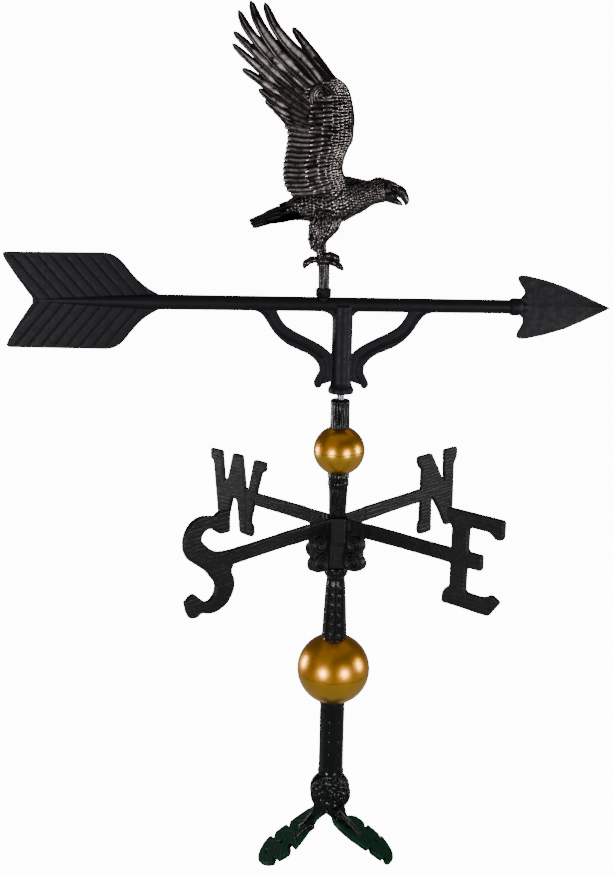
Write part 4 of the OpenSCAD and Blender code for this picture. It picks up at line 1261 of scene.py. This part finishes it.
def build_eyes():
    b = Build()
    t = turn(16)
    for side in (-1, 1):
        rings = []
        for a in np.linspace(-1.35, 1.35, 9):
            r = 2.1 * math.cos(a)
            y = np.full(16, side * (6.3 + 1.9 * math.sin(a)))
            rings.append(np.stack([61.8 + r * np.cos(t), y, 884.8 + EAGLE_Z + r * np.sin(t)], 1))
        loft(b, rings)
    return to_object("eagle_eyes", b, 60)


OUTSIDE = 45                            # a distance from the spine that is outside the body


def scales_on(build, tree, spine, rows, around, length, half, seed, lift, skip=None):
    """Covers a body with small overlapping feathers that lie along its spine. around, length and half pair
    places along the spine with the number, length and half width there. skip(point) leaves a point bare."""
    rng = np.random.default_rng(seed)
    curve = spline(spine, rows)
    for r in range(rows + 1):
        c = curve[r]
        t = curve[min(r + 1, rows)] - curve[max(r - 1, 0)]
        t = t / np.linalg.norm(t)
        side = np.array([0, 1, 0]) - t * t[1]
        side /= np.linalg.norm(side)
        over = np.cross(side, t)
        over = over if over[2] > 0 else -over
        count = int(np.interp(r / rows, *around))
        for k in range(count):
            a = 2 * math.pi * (k + 0.5 * (r % 2)) / count + rng.uniform(-0.05, 0.05)
            ray = math.cos(a) * side + math.sin(a) * over
            hit, normal, _, _ = tree.ray_cast(Vector(c + ray * OUTSIDE), Vector(-ray), OUTSIDE)
            if hit is None:
                continue
            p, n = np.array(hit), np.array(normal)
            flow = t - n * n.dot(t)
            if (skip and skip(p)) or np.linalg.norm(flow) < 0.2:
                continue
            flow /= np.linalg.norm(flow)
            twist = rng.uniform(-0.16, 0.16)
            flow = flow * math.cos(twist) + np.cross(n, flow) * math.sin(twist)
            size = np.interp(r / rows, *length) * rng.uniform(0.88, 1.12)
            wide = np.interp(r / rows, *half) * rng.uniform(0.92, 1.08)
            pts = [p - flow * size * 0.35 - n * 0.5, p + flow * size * 0.2 + n * lift * 0.55,
                   p + flow * size * 0.65 + n * lift * 0.35]
            feather(build, pts, wide, 0.9, n, 5, "scale", back=0.3)


def build_plumage(trunk):
    """Small feathers on the trunk and the legs, but not on the face or under the wings' roots."""
    verts = [v.co / MM for v in trunk.data.vertices]
    tree = BVHTree.FromPolygons(verts, [list(p.vertices) for p in trunk.data.polygons])
    plumage = Build()

    def bare(p):
        under_wing = -60 < p[0] < -4 and p[2] > EAGLE_Z + 886
        return under_wing or p[0] > 50

    spine = [[54, 0, 882], [44, 0, 882], [30, 0, 878], [14, 0, 873], [-5, 0, 869], [-30, 0, 865],
             [-55, 0, 862], [-78, 0, 856]]
    along = [0, 0.3, 0.6, 1]
    scales_on(plumage, tree, mirrored(spine, 1, EAGLE_Z), 34,
              ([0, 0.2, 0.45, 0.8, 1], [17, 20, 26, 23, 14]), (along, [5.0, 6.2, 8.2, 9.0]),
              (along, [1.7, 2.1, 2.7, 2.9]), 91, 0.8, bare)
    for side in (-1, 1):
        leg = mirrored([[-20, 9, 846], [-26, 10, 834], [-32, 9, 820], [-36, 6.5, 807]], side, EAGLE_Z)
        scales_on(plumage, tree, leg, 9, ([0, 1], [17, 9]), ([0, 1], [10, 8]), ([0, 1], [2.9, 2.2]),
                  93 + side, 1.0)
    return to_object("eagle_plumage", plumage, 50)


def build_tail():
    """A full fan of long feathers, and two shorter layers over and under it."""
    tail = Build()
    for count, reach, drop, half, faces in ((9, 1.0, 0.0, 4.6, (1,)), (8, 0.72, -1.2, 4.4, (1, -1)),
                                            (6, 0.46, -2.2, 4.2, (1, -1))):
        for k in range(count):
            f = (k / (count - 1)) * 2 - 1
            for face in faces:
                base = np.array([-56, f * 9, 867.3 - 17 * abs(f) ** 1.6 - face * drop * 1.6])
                tip = np.array([-56 - 71 * reach * (1 - 0.07 * f * f), f * 15.5, 0])
                tip[2] = (np.interp(tip[0], [-124, -90, -60], [841.6, 859.2, 871])
                          - np.interp(tip[0], [-124, -60], [9.5, 17]) * abs(f) ** 1.6 - face * drop * 1.2)
                middle = (base + tip) / 2 + [0, 0, 1.2 * face + EAGLE_Z]
                path = [EAGLE_LIFT(base), middle, EAGLE_LIFT(tip)]
                feather(tail, path, half, 1.3, np.array([0, 0.75 * f, 1.0]) * face, 12, tilt=0.1 * face,
                        back=0.9 if drop == 0 else 0.3)
    return to_object("eagle_tail", tail, 50)


TOES = ([[-31, 5, 793], [-22, 8, 797], [-14, 9.5, 796.5], [-9, 10, 792.5], [-8, 10, 787.5]],
        [[-31, 5, 790], [-20, 4, 789.5], [-11, 3.5, 786], [-4, 3.5, 781.5], [-1.8, 3.5, 777.5]],
        [[-31, 5, 790], [-40, 6, 791.6], [-47.5, 6.5, 789], [-52, 6.5, 784.5], [-53.2, 6.5, 779.5]])


def build_eagle_feet():
    """Shanks and ringed toes that end in talons, round the top of the stem."""
    feet = Build()
    perch = [[STEM_X - 2, 0, 783], [STEM_X - 4, 0, 800], [STEM_X - 4.4, 0, 816]]
    tube(feet, perch, [8, 7.2, 6.4], m=20, move=EAGLE_LIFT)
    u = np.linspace(0, 1, 21)
    radii = np.interp(u, [0, 0.7, 0.8, 1], [4.6, 4.2, 3.5, 0.9]) + 0.35 * np.sin(u * 22)
    for side in (-1, 1):
        shank = mirrored([[-36, 6, 812], [-33.4, 6, 802], [-30.5, 6, 794]], side)
        tube(feet, shank, [5, 5, 5], m=16, move=EAGLE_LIFT)
        for toe in TOES:
            tube(feet, spline(mirrored(toe, side), 20), np.maximum(radii, 0.4), m=14, move=EAGLE_LIFT)
    return cast("eagle_feet", feet, lambda p, n: 0.18 * noise(p, 1.8, 84), voxel=0.6)


def build_stem():
    stem = Build()
    top = 785 + EAGLE_Z
    lathe(stem, [(0, NUT_Z + 1), (7.6, NUT_Z + 1), (7.8, NUT_Z + 24), (7.5, top), (0, top)], m=72,
          shape=flutes(7, 0.26, 3.0), centre=(STEM_X, 0))
    return to_object("eagle_stem_fluted", stem, 40)


trunk = build_trunk()
plumage = build_plumage(trunk)
eagle_piece(trunk, BRONZE_SMOOTH)
eagle_piece(plumage, BRONZE_PLUMAGE)
eagle_piece(build_face(), BRONZE_SMOOTH)
eagle_piece(build_eyes(), BRONZE_SMOOTH)
eagle_piece(build_tail(), BRONZE_DARK)
eagle_piece(build_eagle_feet(), BRONZE_SMOOTH)
eagle_piece(build_stem(), STEM_BLACK, "eagle_stem")


# ---- Hardware that keeps its CAD shape ----

for node, material in (("spindle_rod", STEEL), ("bearing_ball", STEEL), ("arrowhead_stud", STEEL),
                       ("spindle_bush", BRASS), ("pivot_bolt", BLACK_STEEL), ("pivot_washer", BLACK_STEEL),
                       ("hub_set_screws", BLACK_STEEL), ("stem_nut", NUT_BLACK)):
    for material_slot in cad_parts[node].material_slots:
        material_slot.material = material


# ---- Floor, light and camera ----

WHITE = 13.0                            # strength of the backdrop as the camera sees it


def build_floor():
    low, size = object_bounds()[0][2], 14.0
    mesh = bpy.data.meshes.new("floor")
    corners = [(-size, -size, low), (size, -size, low), (size, size, low), (-size, size, low)]
    mesh.from_pydata(corners, [], [(0, 1, 2, 3)])
    floor = bpy.data.objects.new("floor", mesh)
    bpy.context.scene.collection.objects.link(floor)
    m = Nodes("pale_floor")
    m.set(Base_Color=(0.92, 0.92, 0.92, 1), Roughness=0.9, Specular_IOR_Level=0.1,
          Emission_Color=(1, 1, 1, 1), Emission_Strength=WHITE)
    mesh.materials.append(m.material)
    floor.visible_glossy = False
    floor.visible_diffuse = False


def build_world():
    """A white backdrop for the camera, and a dim one for the light on the object, brighter from below."""
    world = bpy.data.worlds.new("studio")
    bpy.context.scene.world = world
    world.use_nodes = True
    tree = world.node_tree
    background = tree.nodes["Background"]
    path = tree.nodes.new("ShaderNodeLightPath")
    mix = tree.nodes.new("ShaderNodeMix")
    mix.data_type = "FLOAT"
    direction = tree.nodes.new("ShaderNodeTexCoord")
    split = tree.nodes.new("ShaderNodeSeparateXYZ")
    dim = tree.nodes.new("ShaderNodeMapRange")
    for name, value in (("From Min", -0.55), ("From Max", 0.05), ("To Min", 0.4), ("To Max", 0.1)):
        dim.inputs[name].default_value = value
    mix.inputs[3].default_value = WHITE
    background.inputs["Color"].default_value = (1, 1, 1, 1)
    for source, target in ((direction.outputs["Generated"], split.inputs["Vector"]),
                           (split.outputs["Z"], dim.inputs["Value"]), (dim.outputs["Result"], mix.inputs[2]),
                           (path.outputs["Is Camera Ray"], mix.inputs[0]),
                           (mix.outputs[0], background.inputs["Strength"])):
        tree.links.new(source, target)


# Area lights: name, place, width and height, and power
LIGHTS = [("front_left", (-1.31, -1.77, 0.42), (0.42, 0.62), 32),
          ("front_right", (1.13, -1.89, 0.44), (0.42, 0.62), 28),
          ("rear_left", (-1.97, 0.97, 0.3), (0.45, 0.62), 24),
          ("right", (2.16, -0.1, 0.58), (0.45, 0.62), 22), ("high_left", (-1.5, -1.3, 2.3), (2.8, 2.8), 5),
          ("top", (0.3, 0.5, 3.0), (3.6, 3.6), 8)]


def build_lights():
    for name, at, size_xy, power in LIGHTS:
        data = bpy.data.lights.new(name, "AREA")
        data.shape = "RECTANGLE"
        data.size, data.size_y = size_xy
        data.energy = power
        light = bpy.data.objects.new(name, data)
        light.location = at
        aim = Vector((0, 0, 0.55)) - Vector(at)
        light.rotation_euler = aim.to_track_quat("-Z", "Y").to_euler()
        bpy.context.scene.collection.objects.link(light)


def build_camera():
    data = bpy.data.cameras.new("camera")
    data.sensor_width = 36
    data.lens = 43.47
    data.dof.use_dof = False
    camera = bpy.data.objects.new("camera", data)
    place = Vector((-0.1206, -1.4188, 0.908))
    forward = Vector((0.05147, 0.97305, -0.22476))
    right = Vector((0.99865, -0.04846, 0.01890))
    right = (right - forward * right.dot(forward)).normalized()
    up = right.cross(forward).normalized()
    camera.matrix_world = Matrix(((right.x, up.x, -forward.x, place.x),
                                  (right.y, up.y, -forward.y, place.y),
                                  (right.z, up.z, -forward.z, place.z), (0, 0, 0, 1)))
    bpy.context.scene.collection.objects.link(camera)
    bpy.context.scene.camera = camera


build_floor()
build_world()
build_lights()
build_camera()
